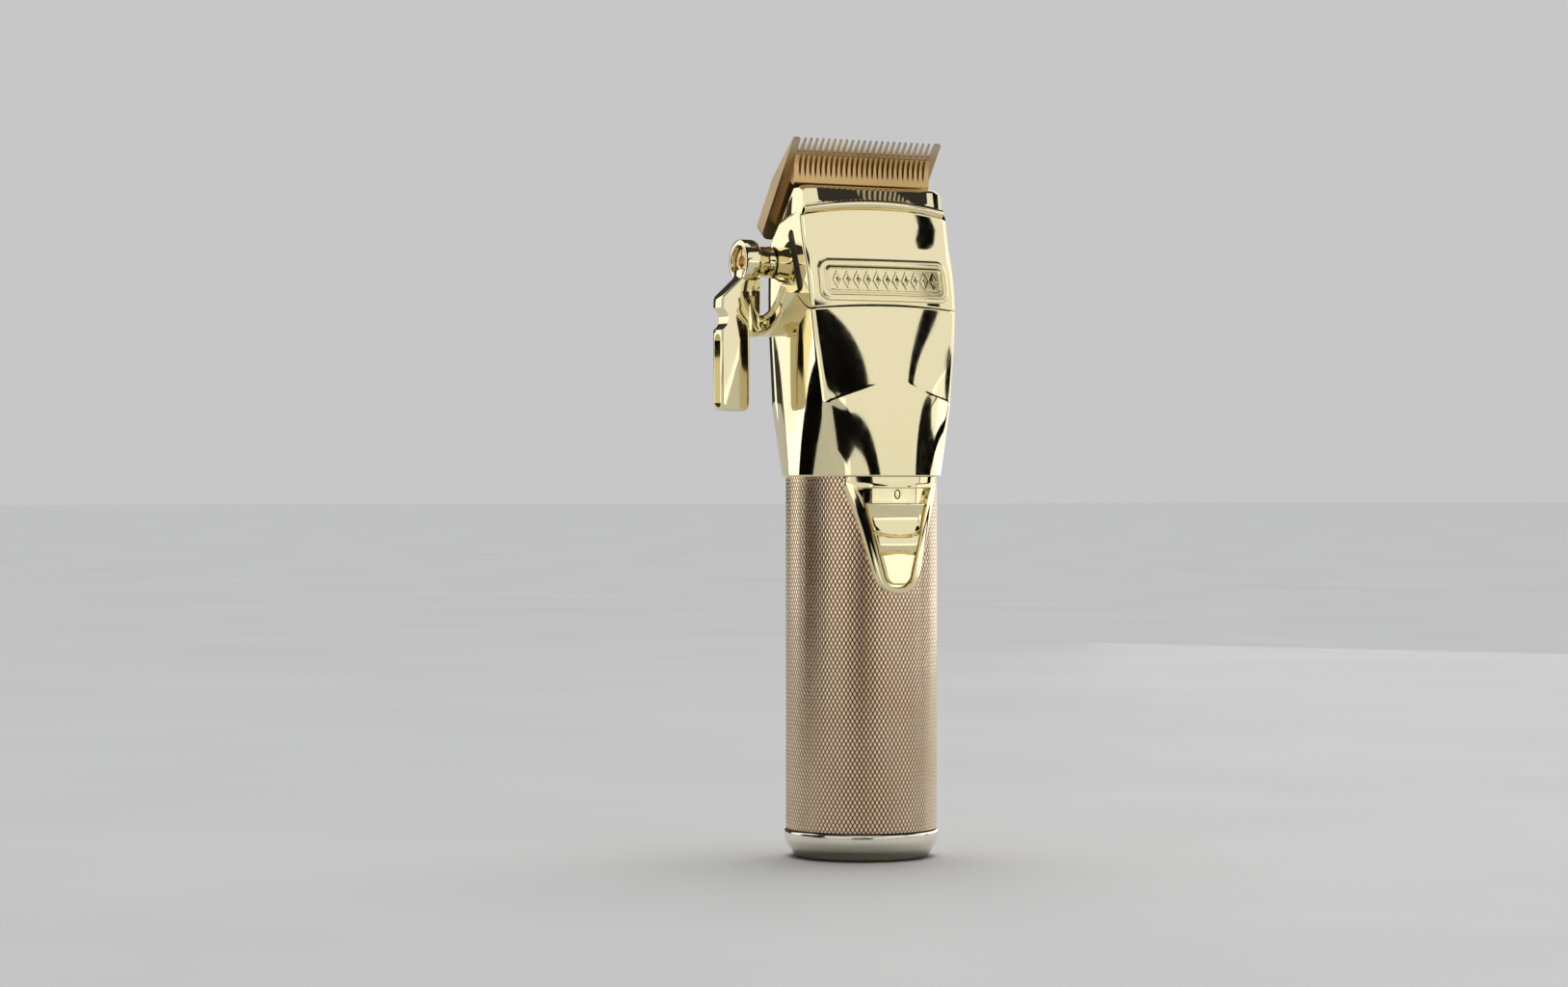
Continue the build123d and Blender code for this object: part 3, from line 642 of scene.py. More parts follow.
def make_sleeve():
    """Knurled sleeve: low pyramids between crossing grooves, with a tongue notch."""
    row = (COLLAR_Z - SLEEVE_LOW) / KNURL_ROWS
    half = pi / KNURL_AROUND
    under_tongue = 1.0
    verts, faces = [], []

    def place(a, z, r):
        return (r * sin(a), -r * cos(a), min(max(z, SLEEVE_LOW), COLLAR_Z))

    for j in range(2 * KNURL_ROWS + 1):
        z = SLEEVE_LOW + j * row / 2
        for i in range(KNURL_AROUND):
            a = 2 * pi * (i + 0.5 * (j % 2)) / KNURL_AROUND
            hidden = abs(SLEEVE_R * sin(a)) < tongue_half_width(z) - under_tongue
            if cos(a) > 0 and hidden:
                continue
            corners = ((a - half, z), (a, z - row / 2), (a + half, z), (a, z + row / 2))
            base = len(verts)
            verts += [place(ca, cz, SLEEVE_R - KNURL_DEPTH) for ca, cz in corners]
            verts += [place(a + (ca - a) * KNURL_FLAT, z + (cz - z) * KNURL_FLAT,
                            SLEEVE_R - KNURL_PEAK) for ca, cz in corners]
            verts.append(place(a, z, SLEEVE_R))
            for k in range(4):
                nxt = (k + 1) % 4
                faces.append((base + 4 + k, base + 4 + nxt, base + 8))
                faces.append((base + k, base + nxt, base + 4 + nxt, base + 4 + k))
    obj = new_object("knurled_sleeve", verts, faces, KNURL, "handle", "sleeve", 6)
    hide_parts("handle_sleeve")
    core = ((SLEEVE_BORE_R, SLEEVE_LOW), (SLEEVE_CORE_R, SLEEVE_LOW),
            (SLEEVE_CORE_R, SLEEVE_CORE_TOP), (SLEEVE_BORE_R, SLEEVE_CORE_TOP))
    new_object("sleeve_core", *lathe(core, 180), ROSE, "handle", "sleeve", 40)


TONGUE_POINTS = ((13.9, COLLAR_Z), (13.7, 100.0), (10.6, 90.0), (7.2, 77.4), (5.4, 74.1),
                 (2.9, 72.6), (0.0, TONGUE_END))
RECESS_POINTS = ((11.4, 100.6), (10.0, 98.0), (9.1, 94.5), (4.9, 78.6), (3.9, 75.6),
                 (2.1, 74.0), (0.0, 73.6))


def smooth_path(points, count):
    """Evenly spaced points on a smooth line through the given ones."""
    dense = []
    n = len(points)
    for i in range(n - 1):
        dense += spline_run(points[max(0, i - 1)], points[i], points[i + 1],
                            points[min(n - 1, i + 2)], 24)
    dense.append(points[-1])
    lengths = [0.0]
    for a, b in zip(dense, dense[1:]):
        lengths.append(lengths[-1] + sqrt((b[0] - a[0]) ** 2 + (b[1] - a[1]) ** 2))
    path, k = [], 0
    for i in range(count + 1):
        want = lengths[-1] * i / count
        while k < len(dense) - 2 and lengths[k + 1] < want:
            k += 1
        t = (want - lengths[k]) / max(1e-9, lengths[k + 1] - lengths[k])
        path.append(tuple(a + (b - a) * t for a, b in zip(dense[k], dense[k + 1])))
    return path


def closed_loop(points, count, top_count):
    """A loop down the left side, round the end, up the right and back along the top."""
    right = smooth_path(points, count)
    left = [(-x, z) for x, z in right]
    top_x, top_z = points[0]
    top = [(top_x - 2 * top_x * k / top_count, top_z) for k in range(1, top_count)]
    return left + right[-2::-1] + top


def loop_inset(loop, amount):
    """A loop moved inwards by an amount."""
    n = len(loop)
    moved = []
    for i in range(n):
        ax, az = loop[i - 1]
        bx, bz = loop[(i + 1) % n]
        dx, dz = bx - ax, bz - az
        size = sqrt(dx * dx + dz * dz) or 1.0
        moved.append((loop[i][0] - dz / size * amount, loop[i][1] + dx / size * amount))
    return moved


def wrap(x, z, r):
    """A place on a cylinder round the handle, above x and z on its front."""
    x = max(-r, min(r, x))
    return (x, -sqrt(r * r - x * x), z)


def make_tongue():
    """The tongue of the housing over the sleeve, with its rim and the switch recess."""
    count, top_count = 70, 30
    outer = closed_loop(TONGUE_POINTS, count, top_count)
    inner = closed_loop(RECESS_POINTS, count, top_count)
    middle = [((a[0] + b[0]) / 2, (a[1] + b[1]) / 2) for a, b in zip(outer, inner)]
    top_edge = {0, *range(2 * count, len(outer))}

    def rim(inset):
        """The outer line moved inwards, except for its top edge."""
        moved = loop_inset(outer, inset)
        return [outer[i] if i in top_edge else p for i, p in enumerate(moved)]

    def ring(loop, r, top_r=None):
        """A loop wrapped round the handle, with its top edge at a radius of its own."""
        return [wrap(x, z, top_r if top_r and i in top_edge else r)
                for i, (x, z) in enumerate(loop)]

    rings = [ring(outer, 20.3, COLLAR_R), ring(outer, 21.35, COLLAR_R),
             ring(rim(0.14), 21.62, COLLAR_R), ring(rim(0.45), COLLAR_R), ring(middle, COLLAR_R)]
    for inset, r in ((-0.42, COLLAR_R), (-0.3, COLLAR_R + 0.05), (-0.14, COLLAR_R + 0.05),
                     (-0.02, COLLAR_R - 0.1), (0.0, RECESS_R + 0.25), (0.2, RECESS_R)):
        rings.append(ring(loop_inset(inner, inset), r))
    floor = loop_inset(inner, 0.25)
    for share in (0.75, 0.5, 0.25, 0.0):
        rings.append(ring([(x * share, z) for x, z in floor], RECESS_R))
    verts = [p for row in rings for p in row]
    faces = grid_faces(len(rings), len(outer), closed=True)
    new_object("housing_tongue", verts, faces, CHROME, "handle", "gold_chrome", 50)


def make_skin(columns, low_at, high_at, rows, closed, round_low, round_high):
    """A sheet of the body's outside between two lines, with rolled-in edges."""
    spans = []
    for column in columns:
        low = low_at(column)
        spans.append((low, max(high_at(column), low + 0.02)))
    levels = [(0.0, 0.0, SHELL_WALL), (0.0, 0.0, round_low),
              (0.0, 0.3 * round_low, 0.3 * round_low), (0.0, round_low, 0.0)]
    levels += [(k / rows, 0.0, 0.0) for k in range(1, rows)]
    levels += [(1.0, -round_high, 0.0), (1.0, -0.3 * round_high, 0.3 * round_high),
               (1.0, 0.0, round_high), (1.0, 0.0, SHELL_WALL)]
    verts = []
    for share, shift, inset in levels:
        for column, (low, high) in zip(columns, spans):
            room = (high - low) / 2
            z = low + (high - low) * share + max(-room, min(room, shift))
            verts.append(inset_point(column, z, inset, share == 1.0))
    return verts, grid_faces(len(levels), len(columns), closed)


def make_housing():
    """The chrome housing from the collar to the seam, with a lining and the tongue."""
    columns = body_columns(range(6))

    def high(column):
        return seam_at(column) - JOINT_GAP

    skin = make_skin(columns, lambda column: COLLAR_Z, high, 96, True, 0.45, 0.35)
    obj = new_object("housing_shell", *skin, CHROME, "handle", "gold_chrome", 28)
    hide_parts("main_housing")
    for place in REAR_SCREWS:
        cut(obj, *prism(circle(place, 2.6), 17.62, 23.0, along_y))
    lining = [inset_point(column, z, LINING_INSET) for z in LINING_ROWS for column in columns]
    lining += [inset_point(column, high(column), LINING_INSET, True) for column in columns]
    faces = grid_faces(len(LINING_ROWS) + 1, len(columns), True)
    new_object("housing_lining", lining, faces, INSIDE, "handle", "gold_chrome", 60)
    make_tongue()


def make_head():
    """The chrome head cover: outer skin, side grooves, lip under the cutter and wings."""
    columns = [c for c in body_columns((4, 5, 0, 1, 2))
               if body_point(c, 163.0)[1] < REAR_NOTCH[0] - 0.05]

    def low(column):
        return seam_at(column) + JOINT_GAP

    def high(column):
        return meet(column, panel_top, 172.0)

    skin = make_skin(columns, low, high, 60, False, 0.35, 0.4)
    obj = new_object("head_cover_skin", *skin, CHROME, "handle", "gold_chrome", 28)
    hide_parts("head_cover")
    cut(obj, *prism(circle(PIVOT, 2.3), -24.0, -20.0, along_x))
    for side, name in ((-1, "left"), (1, "right")):
        cut(obj, *prism(capsule(*SIDE_GROOVE, 1.6), *sorted((side * 20.6, side * 24.0)), along_x))
        bed = prism(capsule(*SIDE_GROOVE, 1.55), *sorted((side * 20.5, side * 22.1)), along_x)
        new_object(f"head_groove_{name}", *bed, BLACK, "handle", "black_plastic", 40)
    make_lip()
    make_wings()


def make_lip():
    """The moulded lip under the cutter: a rolled front, a crest and a slope to the blade."""
    front_roll = ((1.6, -1.5), (1.0, -0.3), (0.62, 0.12), (0.3, 0.42), (-0.02, 0.78),
                  (-0.2, 1.15), (-0.24, 1.5), (-0.14, 1.9), (0.08, 2.25), (0.38, 2.5))
    crest = ((-4.9, -1.3), (-4.2, -0.75), (-3.2, -0.3), (-0.05, -0.2), (0.2, -0.35))
    bed = ((12.0, BACK_PLANE), (3.0, BACK_PLANE), (3.0, BACK_PLANE + 1.2))
    ridge_y, ridge_z = on_blade(21.4, BACK_PLANE)
    steps = 80
    verts = []
    for k in range(steps + 1):
        x = LIP_HALF * (2 * k / steps - 1)
        bulge = 1 - (x / 22.5) ** 2
        top = PANEL_TOP_SIDE + PANEL_ARCH * bulge
        front = -7.35 - 2.25 * bulge
        drop = 0.9 * max(0.0, (abs(x) - 18.5) / 3.0) ** 3
        verts += [(x, front + y, top + z) for y, z in front_roll]
        verts.append((x, front + 0.75, top + 2.72 - 0.5 * drop))
        verts += [(x, ridge_y + y, ridge_z + z - drop) for y, z in crest]
        verts += [(x, *on_blade(s, t)) for s, t in bed]
    n = len(front_roll) + 1 + len(crest) + len(bed)
    faces = grid_faces(steps + 1, n)
    faces += [tuple(range(n - 1, -1, -1)), tuple(range(steps * n, (steps + 1) * n))]
    new_object("head_lip", verts, faces, CHROME, "handle", "gold_chrome", 32)


def make_wings():
    """The facets between the sides of the head cover and its lip."""
    outer = ((-7.4, 174.4), (-3.6, 174.9), (0.8, 173.8), (5.3, 172.6), (10.0, 168.3), REAR_NOTCH)
    back_y, back_z = on_blade(21.2, BACK_PLANE)
    inner = ((-6.9, 177.0), (back_y - 0.6, back_z - 1.5), on_blade(16.0, BACK_PLANE),
             on_blade(10.0, BACK_PLANE), on_blade(3.2, BACK_PLANE),
             on_blade(-3.4, BACK_PLANE + 0.1))
    across = ((0.0, 22.2, 0.3), (0.04, 22.45, 0.0), (0.12, 22.35, 0.0), (1.0, 21.45, 0.0),
              (1.0, 19.5, 0.0))
    for side, name in ((-1, "left"), (1, "right")):
        verts = [(side * x, y0 + (y1 - y0) * share, z0 + (z1 - z0) * share - drop)
                 for (y0, z0), (y1, z1) in zip(outer, inner) for share, x, drop in across]
        faces = grid_faces(len(outer), len(across))
        new_object(f"head_wing_{name}", verts, faces, CHROME, "handle", "gold_chrome", 30)


# ---- Nameplate ----
def front_point(x, z, out):
    """A place on the front panel of the head, stood off by an amount."""
    bend = 0.2
    n = upper_numbers(z)
    front, corner_x, corner_y = n[:3]
    share = (asin(max(-1, min(1, x / corner_x * bend))) / asin(bend) + 1) / 2
    px, py = arc_point((-corner_x, corner_y), (0.0, front), (corner_x, corner_y), share)
    return (px, py - out, z)


def rounded_rect(half_x, half_z, r, centre_z, per_side=24, per_corner=10):
    """Points round a rectangle with round corners."""
    x, z = half_x - r, half_z - r
    corners = [arc((cx, centre_z + cz), r, start, start + 90, per_corner)
               for cx, cz, start in ((x, z, 0), (-x, z, 90), (-x, -z, 180), (x, -z, 270))]
    points = []
    for corner, following in zip(corners, corners[1:] + corners[:1]):
        (x0, z0), (x1, z1) = corner[-1], following[0]
        points += corner + [(x0 + (x1 - x0) * k / per_side, z0 + (z1 - z0) * k / per_side)
                            for k in range(1, per_side)]
    return points


def make_nameplate():
    """The plate on the front panel: raised border, sunk field and a plain relief."""
    steps = ((19.9, 5.8, 3.0, -0.3), (19.9, 5.8, 3.0, 0.35), (19.75, 5.65, 2.9, 0.6),
             (19.4, 5.3, 2.6, 0.72), (18.5, 4.4, 1.9, 0.72), (18.2, 4.1, 1.7, 0.6),
             (18.1, 4.0, 1.6, 0.3), (17.7, 3.6, 1.3, 0.28), (17.5, 3.4, 1.2, 0.5),
             (17.1, 3.0, 1.0, 0.5), (16.9, 2.8, 0.9, 0.28), (12.0, 2.0, 0.6, 0.28),
             (6.0, 1.0, 0.3, 0.28), (0.5, 0.1, 0.04, 0.28))
    verts = [front_point(x, z, out) for half_x, half_z, r, out in steps
             for x, z in rounded_rect(half_x, half_z, r, PLATE_CENTRE_Z)]
    count = len(verts) // len(steps)
    faces = grid_faces(len(steps), count, closed=True)
    faces.append(tuple(range(len(verts) - count, len(verts))))
    obj = new_object("name_plate", verts, faces, PLATE, "handle", "nameplate", 40)
    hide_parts("nameplate")
    half_x, half_z, pitch = 1.42, 2.5, 2.95
    rings = ((1.0, 0.2), (0.94, 0.66), (0.66, 0.66), (0.58, 0.3), (0.42, 0.3), (0.02, 0.68))
    verts, faces = [], []
    for k in range(-5, 6):
        faces += grid_faces(len(rings), 4, closed=True, offset=len(verts))
        verts += [front_point(k * pitch + half_x * share * x, PLATE_CENTRE_Z + half_z * share * z,
                              out)
                  for share, out in rings for x, z in ((-1, 0), (0, -1), (1, 0), (0, 1))]
    new_object("name_plate_relief", verts, faces, CHROME, "handle", "nameplate", 20)


# ---- Switch ----
SLIDER_POINTS = ((8.8, SLIDER_HIGH), (8.45, 94.5), (6.6, 87.0), (4.4, 78.6), (3.6, 76.0),
                 (1.9, 74.7), (0.0, SLIDER_LOW))


def slider_radius(x, z):
    """Radius of the slider's face: a shallow scoop, then a finger roll between two grooves."""
    face, end_face = 21.66, 21.7
    upper, lower, scoop_top = 87.5, 83.3, 96.2
    groove_half, groove_depth = 0.42, 0.85
    sag = (x / 7.0) ** 2
    for centre, bend in ((upper, 1.2), (lower, -0.8)):
        off = abs(z - centre - bend * sag)
        if off < groove_half:
            return face - groove_depth * cos(pi / 2 * off / groove_half)
    if z >= scoop_top:
        return end_face
    if z > upper + sag:
        return end_face - 0.3 * sin(pi * min(1.0, (scoop_top - z) / 8.2))
    if z > lower:
        return face + 0.1 * sin(pi * (z - lower) / (upper - lower))
    return face


def make_slider():
    """The sliding switch with its thumb scoop, and the zero mark on the strip above it."""
    rows, columns, soft = 150, 33, 0.5
    side = smooth_path(SLIDER_POINTS, 300)
    grid = []
    for j in range(rows + 1):
        z = SLIDER_LOW + (SLIDER_HIGH - SLIDER_LOW) * j / rows
        half = 0.05
        for (x0, z0), (x1, z1) in zip(side, side[1:]):
            if min(z0, z1) - 1e-9 <= z <= max(z0, z1) + 1e-9:
                half = max(half, x0 + (x1 - x0) * ((z - z0) / (z1 - z0) if z1 != z0 else 0))
        face = []
        for k in range(columns):
            x = half * sin((-1 + 2 * k / (columns - 1)) * pi / 2)
            edge = min(soft, half - abs(x), z - SLIDER_LOW, SLIDER_HIGH - z)
            drop = (1 - sqrt(max(0.0, 1 - (1 - edge / soft) ** 2))) * soft
            face.append(wrap(x, z, slider_radius(x, z) - drop))
        grid.append([wrap(-half, z, SLIDER_FOOT_R), *face, wrap(half, z, SLIDER_FOOT_R)])
    foot, head = ([wrap(p[0], z, SLIDER_FOOT_R) for p in row]
                  for row, z in ((grid[0], SLIDER_LOW), (grid[-1], SLIDER_HIGH)))
    grid = [foot, *grid, head]
    verts = [p for row in grid for p in row]
    obj = new_object("power_slider", verts, grid_faces(len(grid), columns + 2), CHROME,
                     "switch", "switch_gold", 40)
    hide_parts("switch_slider")
    stem = ((-1.3, -20.8), (1.3, -20.8), (1.3, -18.2), (-1.3, -18.2))
    obj = new_object("slider_stem", *prism(stem, 81.5, 86.0, along_z), BLACK, "switch",
                     "switch_gold")
    bevelled(obj, 0.2)
    half_x, half_z, centre_z = 0.95, 1.35, 98.9
    turns = circle((0.0, 0.0), 1.0)
    steps = ((1.0, 1.0, 0.04), (0.98, 0.98, 0.14), (0.7, 0.78, 0.14), (0.68, 0.76, 0.04))
    verts = [wrap(half_x * share_x * x, centre_z + half_z * share_z * z, RECESS_R + out)
             for share_x, share_z, out in steps for x, z in turns]
    new_object("zero_mark", verts, grid_faces(len(steps), len(turns), closed=True), BLACK,
               "handle", "switch_strip", 40)


# ---- Blades ----
BLADE_LEN = 33.0
BLADE_HALF = 23.0
BLADE_THICK = 4.0
BEVEL_START = 17.4
TIP_THICK = 0.3
TOOTH_GAPS = 23
TOOTH_PITCH = 1.83
TOOTH_GAP = 0.85
GAP_BOTTOM = 28.4
BLADE_SCREW_X = (-9.5, 9.5)
BLADE_SCREW_S = 2.6
CUTTER_HALF = 21.0
CUTTER_GAPS = 25
CUTTER_PITCH = 1.6


def make_fixed_blade():
    """The fixed blade: round-tipped teeth on a bevelled plate with countersunk screw seats."""
    gap_r = TOOTH_GAP / 2
    tip_r, corner_r, end_r, foot_r = 0.36, 0.7, 0.6, 2.5
    corner_x, corner_s = BLADE_HALF - corner_r, BLADE_LEN - corner_r
    foot_x = BLADE_HALF - foot_r
    end_x = gap_r + 0.75
    edge = [(-BLADE_HALF, BEVEL_START)] + arc((-corner_x, corner_s), corner_r, 180, 90, 5)
    for i in range(TOOTH_GAPS):
        x = (i - (TOOTH_GAPS - 1) / 2) * TOOTH_PITCH
        if i == 0:
            edge += arc((x - end_x, BLADE_LEN - end_r), end_r, 90, 0, 4)
        edge += arc((x, GAP_BOTTOM + gap_r), gap_r, 180, 360, 8)
        if i < TOOTH_GAPS - 1:
            edge += arc((x + TOOTH_PITCH / 2, BLADE_LEN - tip_r), tip_r, 180, 0, 8)
        else:
            edge += arc((x + end_x, BLADE_LEN - end_r), end_r, 180, 90, 4)
    edge += arc((corner_x, corner_s), corner_r, 90, 0, 5) + [(BLADE_HALF, BEVEL_START)]
    foot = [(BLADE_HALF, BEVEL_START)] + arc((foot_x, foot_r), foot_r, 0, -90, 8)
    foot += arc((-foot_x, foot_r), foot_r, -90, -180, 8) + [(-BLADE_HALF, BEVEL_START)]
    verts, faces = [], []
    for outline in (edge, foot):
        base, n = len(verts), len(outline)
        verts += [(x, *on_blade(s, 0.0)) for x, s in outline]
        for x, s in outline:
            share = max(0.0, (s - BEVEL_START) / (BLADE_LEN - BEVEL_START))
            back = -BLADE_THICK + (BLADE_THICK - TIP_THICK) * share
            verts.append((x, *on_blade(s, back)))
        faces += [tuple(base + k for k in range(n)), tuple(base + 2 * n - 1 - k for k in range(n))]
        faces += [(base + k, base + k + 1, base + n + k + 1, base + n + k) for k in range(n - 1)]
    obj = new_object("fixed_blade_comb", verts, faces, BLADE, "blade", "blade_gold", 25)
    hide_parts("fixed_blade")
    for x in BLADE_SCREW_X:
        seat = circle((x, BLADE_SCREW_S), 2.95, 24)
        cut(obj, *prism(seat, -5.0, -2.35, lambda u, v, w: (u, *on_blade(v, w))))


def make_cutter():
    """The moving cutter: fins that flare into a hollow-ground band above a square edge."""
    fins = []
    for k in range(14):
        share = k / 13
        s = 27.8 - 5.3 * share
        t = 0.34 + 3.1 * share - 0.45 * sin(pi * min(1.0, share))
        open_share = max(0.0, 1 - (share / 0.93) ** 3) if share < 0.93 else 0.0
        fins.append((s, t, 0.44 * sqrt(open_share), open_share ** 0.6))
    band = [(22.2, 3.62), (21.9, 3.82), (21.6, 4.04), (21.45, 4.14), (21.3, 4.18), (20.7, 4.18),
            (20.55, 4.12), (20.5, 3.95), (20.3, 1.8), (5.8, 1.8), (5.8, 0.03), (9.0, 0.03),
            (20.0, 0.03), (27.0, 0.03), (27.8, 0.03)]
    across = (-1.0, -0.9, -0.62, 0.0, 0.62, 0.9, 1.0)
    deep = (0.0, 0.55, 1.0, 1.0, 1.0, 0.55, 0.0)
    end_flat, narrow = 0.9, 0.05
    verts = []
    for s, t, half, depth in fins + [(s, t, 0.0, 0.0) for s, t in band]:
        row = [(-CUTTER_HALF, t), (-CUTTER_HALF + end_flat, t)]
        for i in range(CUTTER_GAPS):
            x = (i - (CUTTER_GAPS - 1) / 2) * CUTTER_PITCH
            spread = max(half, narrow)
            row += [(x + spread * u, t - (t - narrow) * depth * d) for u, d in zip(across, deep)]
            row.append((x + CUTTER_PITCH / 2, t))
        row[-1:] = [(CUTTER_HALF - end_flat, t), (CUTTER_HALF, t)]
        verts += [(x, *on_blade(s, height)) for x, height in row]
    rows = len(fins) + len(band)
    columns = len(verts) // rows
    faces = grid_faces(rows, columns)
    faces += [((rows - 1) * columns + c, (rows - 1) * columns + c + 1, c + 1, c)
              for c in range(columns - 1)]
    faces += [tuple(r * columns for r in range(rows)),
              tuple(r * columns - 1 for r in range(rows, 0, -1))]
    obj = new_object("cutter_comb", verts, faces, CUTTER, "cutter", "cutter_gold", 32)
    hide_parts("cutter_blade")


# ---- Taper lever ----
def make_lever():
    """The taper lever: eye, cranked arm with grip recess, and the finger behind it."""
    eye = ((-28.0, 1.6), (-28.0, 5.2), (-28.15, 5.7), (-28.5, 6.0), (-32.0, 6.0), (-32.4, 5.85),
           (-32.6, 5.5), (-32.6, 4.8), (-32.45, 4.35), (-32.1, 4.2), (-30.0, 4.2), (-30.0, 1.6))
    obj = new_object("lever_eye", *lathe_x(eye, PIVOT, 128), CHROME, "lever", "gold_chrome", 35)
    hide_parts("taper_lever")
    hub = ((-22.82, 2.4), (-22.82, 4.15), (-23.0, 4.3), (-23.5, 4.3), (-23.65, 4.2),
           (-27.4, 4.2), (-27.8, 4.35), (-28.1, 4.8), (-28.1, 1.8))
    new_object("lever_hub", *lathe_x(hub, PIVOT, 128), CHROME, "lever", "gold_chrome", 35)
    screw = ((-30.02, 3.75), (-31.0, 3.75), (-31.3, 3.5), (-31.48, 2.8), (-31.55, 1.7),
             (-31.5, 1.6), (-30.7, 1.6), (-30.7, 0.02))
    obj = new_object("lever_screw_head", *lathe_x(screw, PIVOT), SCREW, "lever", "screw_gold", 30)
    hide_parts("lever_screw")
    slot = [(PIVOT[0] + y, PIVOT[1] + z)
            for y, z in ((-0.45, -4.5), (0.45, -4.5), (0.45, 4.5), (-0.45, 4.5))]
    cut(obj, *prism(slot, -33.0, -31.0, along_x))
    arm = ((-28.4, 159.5), (-32.4, 160.5), (-32.7, 158.0), (-38.4, 152.8), (-38.8, 151.8),
           (-38.8, 123.6), (-38.2, 122.1), (-37.0, 121.5), (-32.2, 121.5), (-31.0, 121.9),
           (-30.4, 123.2), (-30.4, 149.6), (-28.6, 153.6))
    obj = new_object("lever_arm", *prism(arm, 7.5, 13.4, along_y), CHROME, "lever", "gold_chrome")
    bevelled(obj, 0.55, 4)
    grip = capsule((10.45, 140.6), (10.45, 124.4), 1.9)
    cut(obj, *prism(grip, -40.0, -37.9, along_x))
    cut(obj, *prism(circle((-40.3, 146.6), 3.4), 5.0, 16.0, along_y))
    finger = smooth_loop(((7.9, 158.0), (13.4, 157.2), (14.9, 154.0), (15.7, 151.0),
                          (15.4, 148.2), (13.9, 145.5), (11.6, 142.9), (9.9, 141.8),
                          (8.6, 142.2), (7.9, 143.8)), 6)
    obj = new_object("lever_finger", *prism(finger, -30.6, -27.3, along_x), CHROME, "lever",
                     "gold_chrome")
    bevelled(obj, 0.5, 4, 50)


def smooth_loop(points, steps):
    """A closed smooth line through points."""
    n = len(points)
    return [p for i in range(n)
            for p in spline_run(*(points[(i + k - 1) % n] for k in range(4)), steps)]


def make_quadrant():
    """The crescent on the housing that the lever's finger runs over: two ridges and a bed."""
    profile = ((20.4, -22.0), (20.4, -26.0), (20.25, -26.4), (19.9, -26.6), (19.3, -26.6),
               (18.9, -26.35), (18.7, -25.9), (16.4, -25.9), (16.2, -26.35), (15.8, -26.6),
               (15.2, -26.6), (14.85, -26.4), (14.7, -26.0), (14.7, -22.0))
    steps, start, span = 60, -12, 75
    verts = []
    for k in range(steps + 1):
        a = radians(start + span * k / steps)
        verts += [(x, PIVOT[0] - r * sin(a), PIVOT[1] - r * cos(a)) for r, x in profile]
    n = len(profile)
    faces = grid_faces(steps + 1, n)
    faces += [tuple(range(n)), tuple(range((steps + 1) * n - 1, steps * n - 1, -1))]
    obj = new_object("lever_quadrant", verts, faces, CHROME, "handle", "gold_chrome", 40)
    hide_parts("detent_quadrant")


# ---- Camera, lights and floor ----
SET_CENTRE_Z = 0.12
PANEL_DISTANCE = 1.2
FLAG_DISTANCE = 0.9
FLAGS = (
    ("flag_front", ((18, -12, 12), (15, -12, 9), (10, -13, 2), (6, -16, -6), (2, -24, -12),
                    (-3, -42, -16), (-12, -44, -18))),
    ("flag_right", ((31, 47, 50), (28, 45, 52), (24, 45.5, 52), (19, 43, 48),
                    (15, 45, 48.8), (13, 47.5, 49.5), (11.5, 49.5, 50))),
    ("flag_right_low", ((8, 56.5, 58.5), (6, 56.5, 65), (5, 57.5, 73), (4, 59, 79),
                        (3, 62, 83), (2, 72, 87), (0, 82, 91), (-12, 84, 92))),
    ("flag_left", ((24, -131, -90), (-14, -131, -90))),
)


def make_camera():
    """The camera: a long lens at the front left, level with the middle of the object."""
    distance, height, lens = 979.0, 99.1, 81.9
    azimuth, aim = radians(28.6), radians(27.36)
    data = bpy.data.cameras.new("camera")
    data.lens = lens
    data.sensor_width = 36.0
    camera = linked_object("camera", data)
    camera.location = (-distance * sin(azimuth) * MM, -distance * cos(azimuth) * MM, height * MM)
    face_along(camera, Vector((sin(aim), cos(aim), 0.0)))
    bpy.context.scene.camera = camera


def face_along(obj, direction):
    """Turns a camera or a lamp to look along a direction."""
    obj.rotation_euler = direction.to_track_quat("-Z", "Y").to_euler()


def set_place(azimuth, elevation, distance):
    """A place round the object by azimuth from the front towards +X, elevation and distance."""
    a, e = radians(azimuth), radians(elevation)
    return Vector((distance * cos(e) * sin(a), -distance * cos(e) * cos(a),
                   SET_CENTRE_Z + distance * sin(e)))


def panel(name, azimuth, low, high, width, radiance):
    """A softbox facing the object, between two elevations, with the brightness it shows."""
    middle = set_place(azimuth, (low + high) / 2, PANEL_DISTANCE)
    tall = 2 * PANEL_DISTANCE * tan(radians((high - low) / 2))
    data = bpy.data.lights.new(name, "AREA")
    data.shape = "RECTANGLE"
    data.size, data.size_y = width, tall
    data.energy = pi * width * tall * radiance
    lamp = linked_object(name, data)
    lamp.location = middle
    face_along(lamp, Vector((0, 0, SET_CENTRE_Z)) - middle)
    lamp.visible_camera = False
    lamp.visible_diffuse = False


def flag(name, rows, shade):
    """A black flag before the softboxes, from (elevation, start azimuth, end azimuth) rows."""
    verts = [set_place(azimuth, elevation, FLAG_DISTANCE)
             for elevation, *ends in rows for azimuth in ends]
    obj = linked_object(name, new_mesh(name, verts, grid_faces(len(rows), 2), 1.0))
    obj.data.materials.append(shade)
    obj.visible_camera = False
    obj.visible_diffuse = False
    return obj


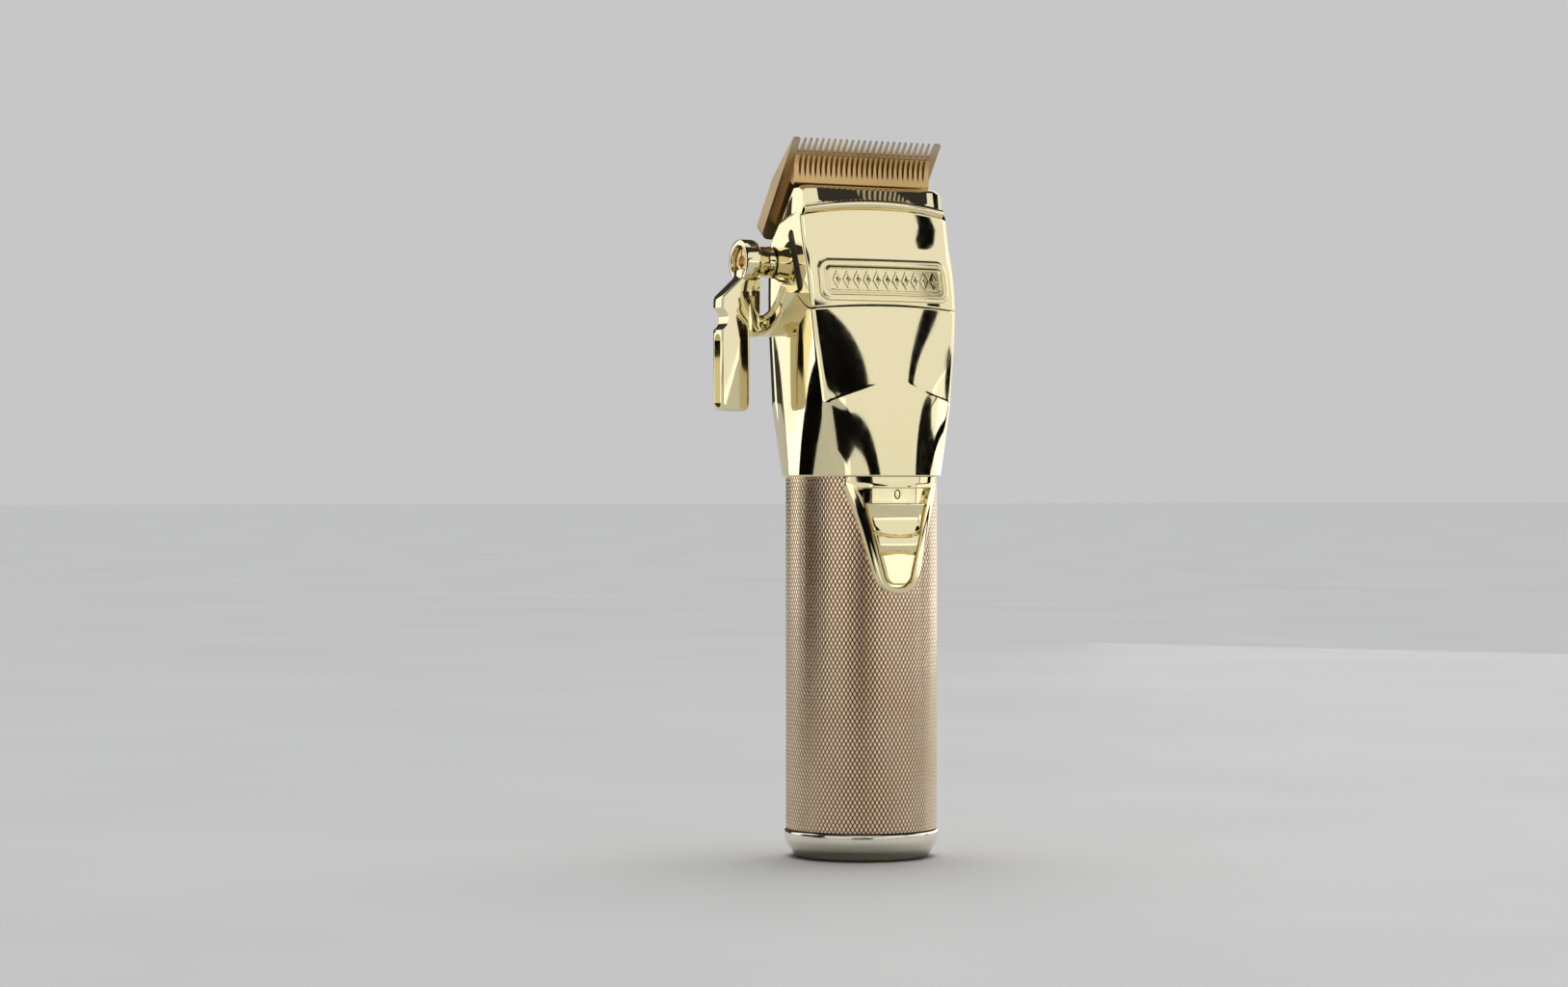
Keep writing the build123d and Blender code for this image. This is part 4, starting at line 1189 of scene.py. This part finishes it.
def make_floor():
    """A pale floor, lit evenly from above by a wide light that the chrome doesn't mirror."""
    material, tree, shader = principled("floor_pale")
    fill(tree, shader, {"Roughness": 0.7, "Specular IOR Level": 0.1,
                        "Base Color": ramp(tree, noise(tree, 6.0), 0.50, 0.53)})
    half, below = 30.0, 0.0002
    corners = ((-half, -half, 0), (half, -half, 0), (half, half, 0), (-half, half, 0))
    floor_object = linked_object("floor", new_mesh("floor", corners, [(0, 1, 2, 3)], 1.0))
    floor_object.location = (0, 0, -below)
    floor_object.data.materials.append(material)
    data = bpy.data.lights.new("soft_overhead", "SUN")
    data.energy = 3.5
    data.angle = radians(60)
    lamp = linked_object("soft_overhead", data)
    lamp.rotation_euler = (radians(-14), radians(10), 0)
    lamp.visible_glossy = False
    return lamp


def make_studio():
    """Pale surroundings for the eye, and softboxes with black flags for the chrome to mirror."""
    overhead = make_floor()
    make_world()
    panel("soft_front", 26, -4, 46, 2.0, 0.90)
    panel("soft_left", -50, -4, 36, 1.66, 0.80)
    panel("soft_right", 82, -8, 34, 0.74, 1.1)
    panel("soft_side", 122, -6, 40, 1.1, 1.1)
    panel("soft_rear_left", -141, -4, 50, 0.80, 1.2)
    panel("soft_top", 0, 76, 104, 0.6, 0.9)
    black, tree, shader = principled("flag_black")
    fill(tree, shader, {"Base Color": (0.004, 0.004, 0.004, 1), "Roughness": 0.9,
                        "Specular IOR Level": 0.0})
    shadowless = bpy.data.collections.new("sun_blockers")
    for name, rows in FLAGS:
        shadowless.objects.link(flag(name, rows, black))
    for entry in shadowless.collection_objects:
        entry.light_linking.link_state = "EXCLUDE"
    overhead.light_linking.blocker_collection = shadowless
    bpy.context.scene.view_settings.view_transform = "Standard"


def make_world():
    """A pale background for the eye that is nearly black in reflections."""
    world = bpy.data.worlds.new("studio")
    bpy.context.scene.world = world
    world.use_nodes = True
    tree = world.node_tree
    around = tree.nodes["Background"]
    fill(tree, around, {"Color": (0.035, 0.036, 0.038, 1)})
    behind = add_node(tree, "Background", {"Color": (0.57, 0.57, 0.57, 1)})
    path = add_node(tree, "LightPath", {})
    mix = add_node(tree, "MixShader", {0: path.outputs["Is Camera Ray"],
                                       1: around.outputs["Background"],
                                       2: behind.outputs["Background"]})
    fill(tree, tree.nodes["World Output"], {"Surface": mix.outputs["Shader"]})


make_bezel()
make_sleeve()
make_housing()
make_head()
make_nameplate()
make_slider()
make_fixed_blade()
make_cutter()
make_lever()
make_quadrant()
make_studio()
make_camera()
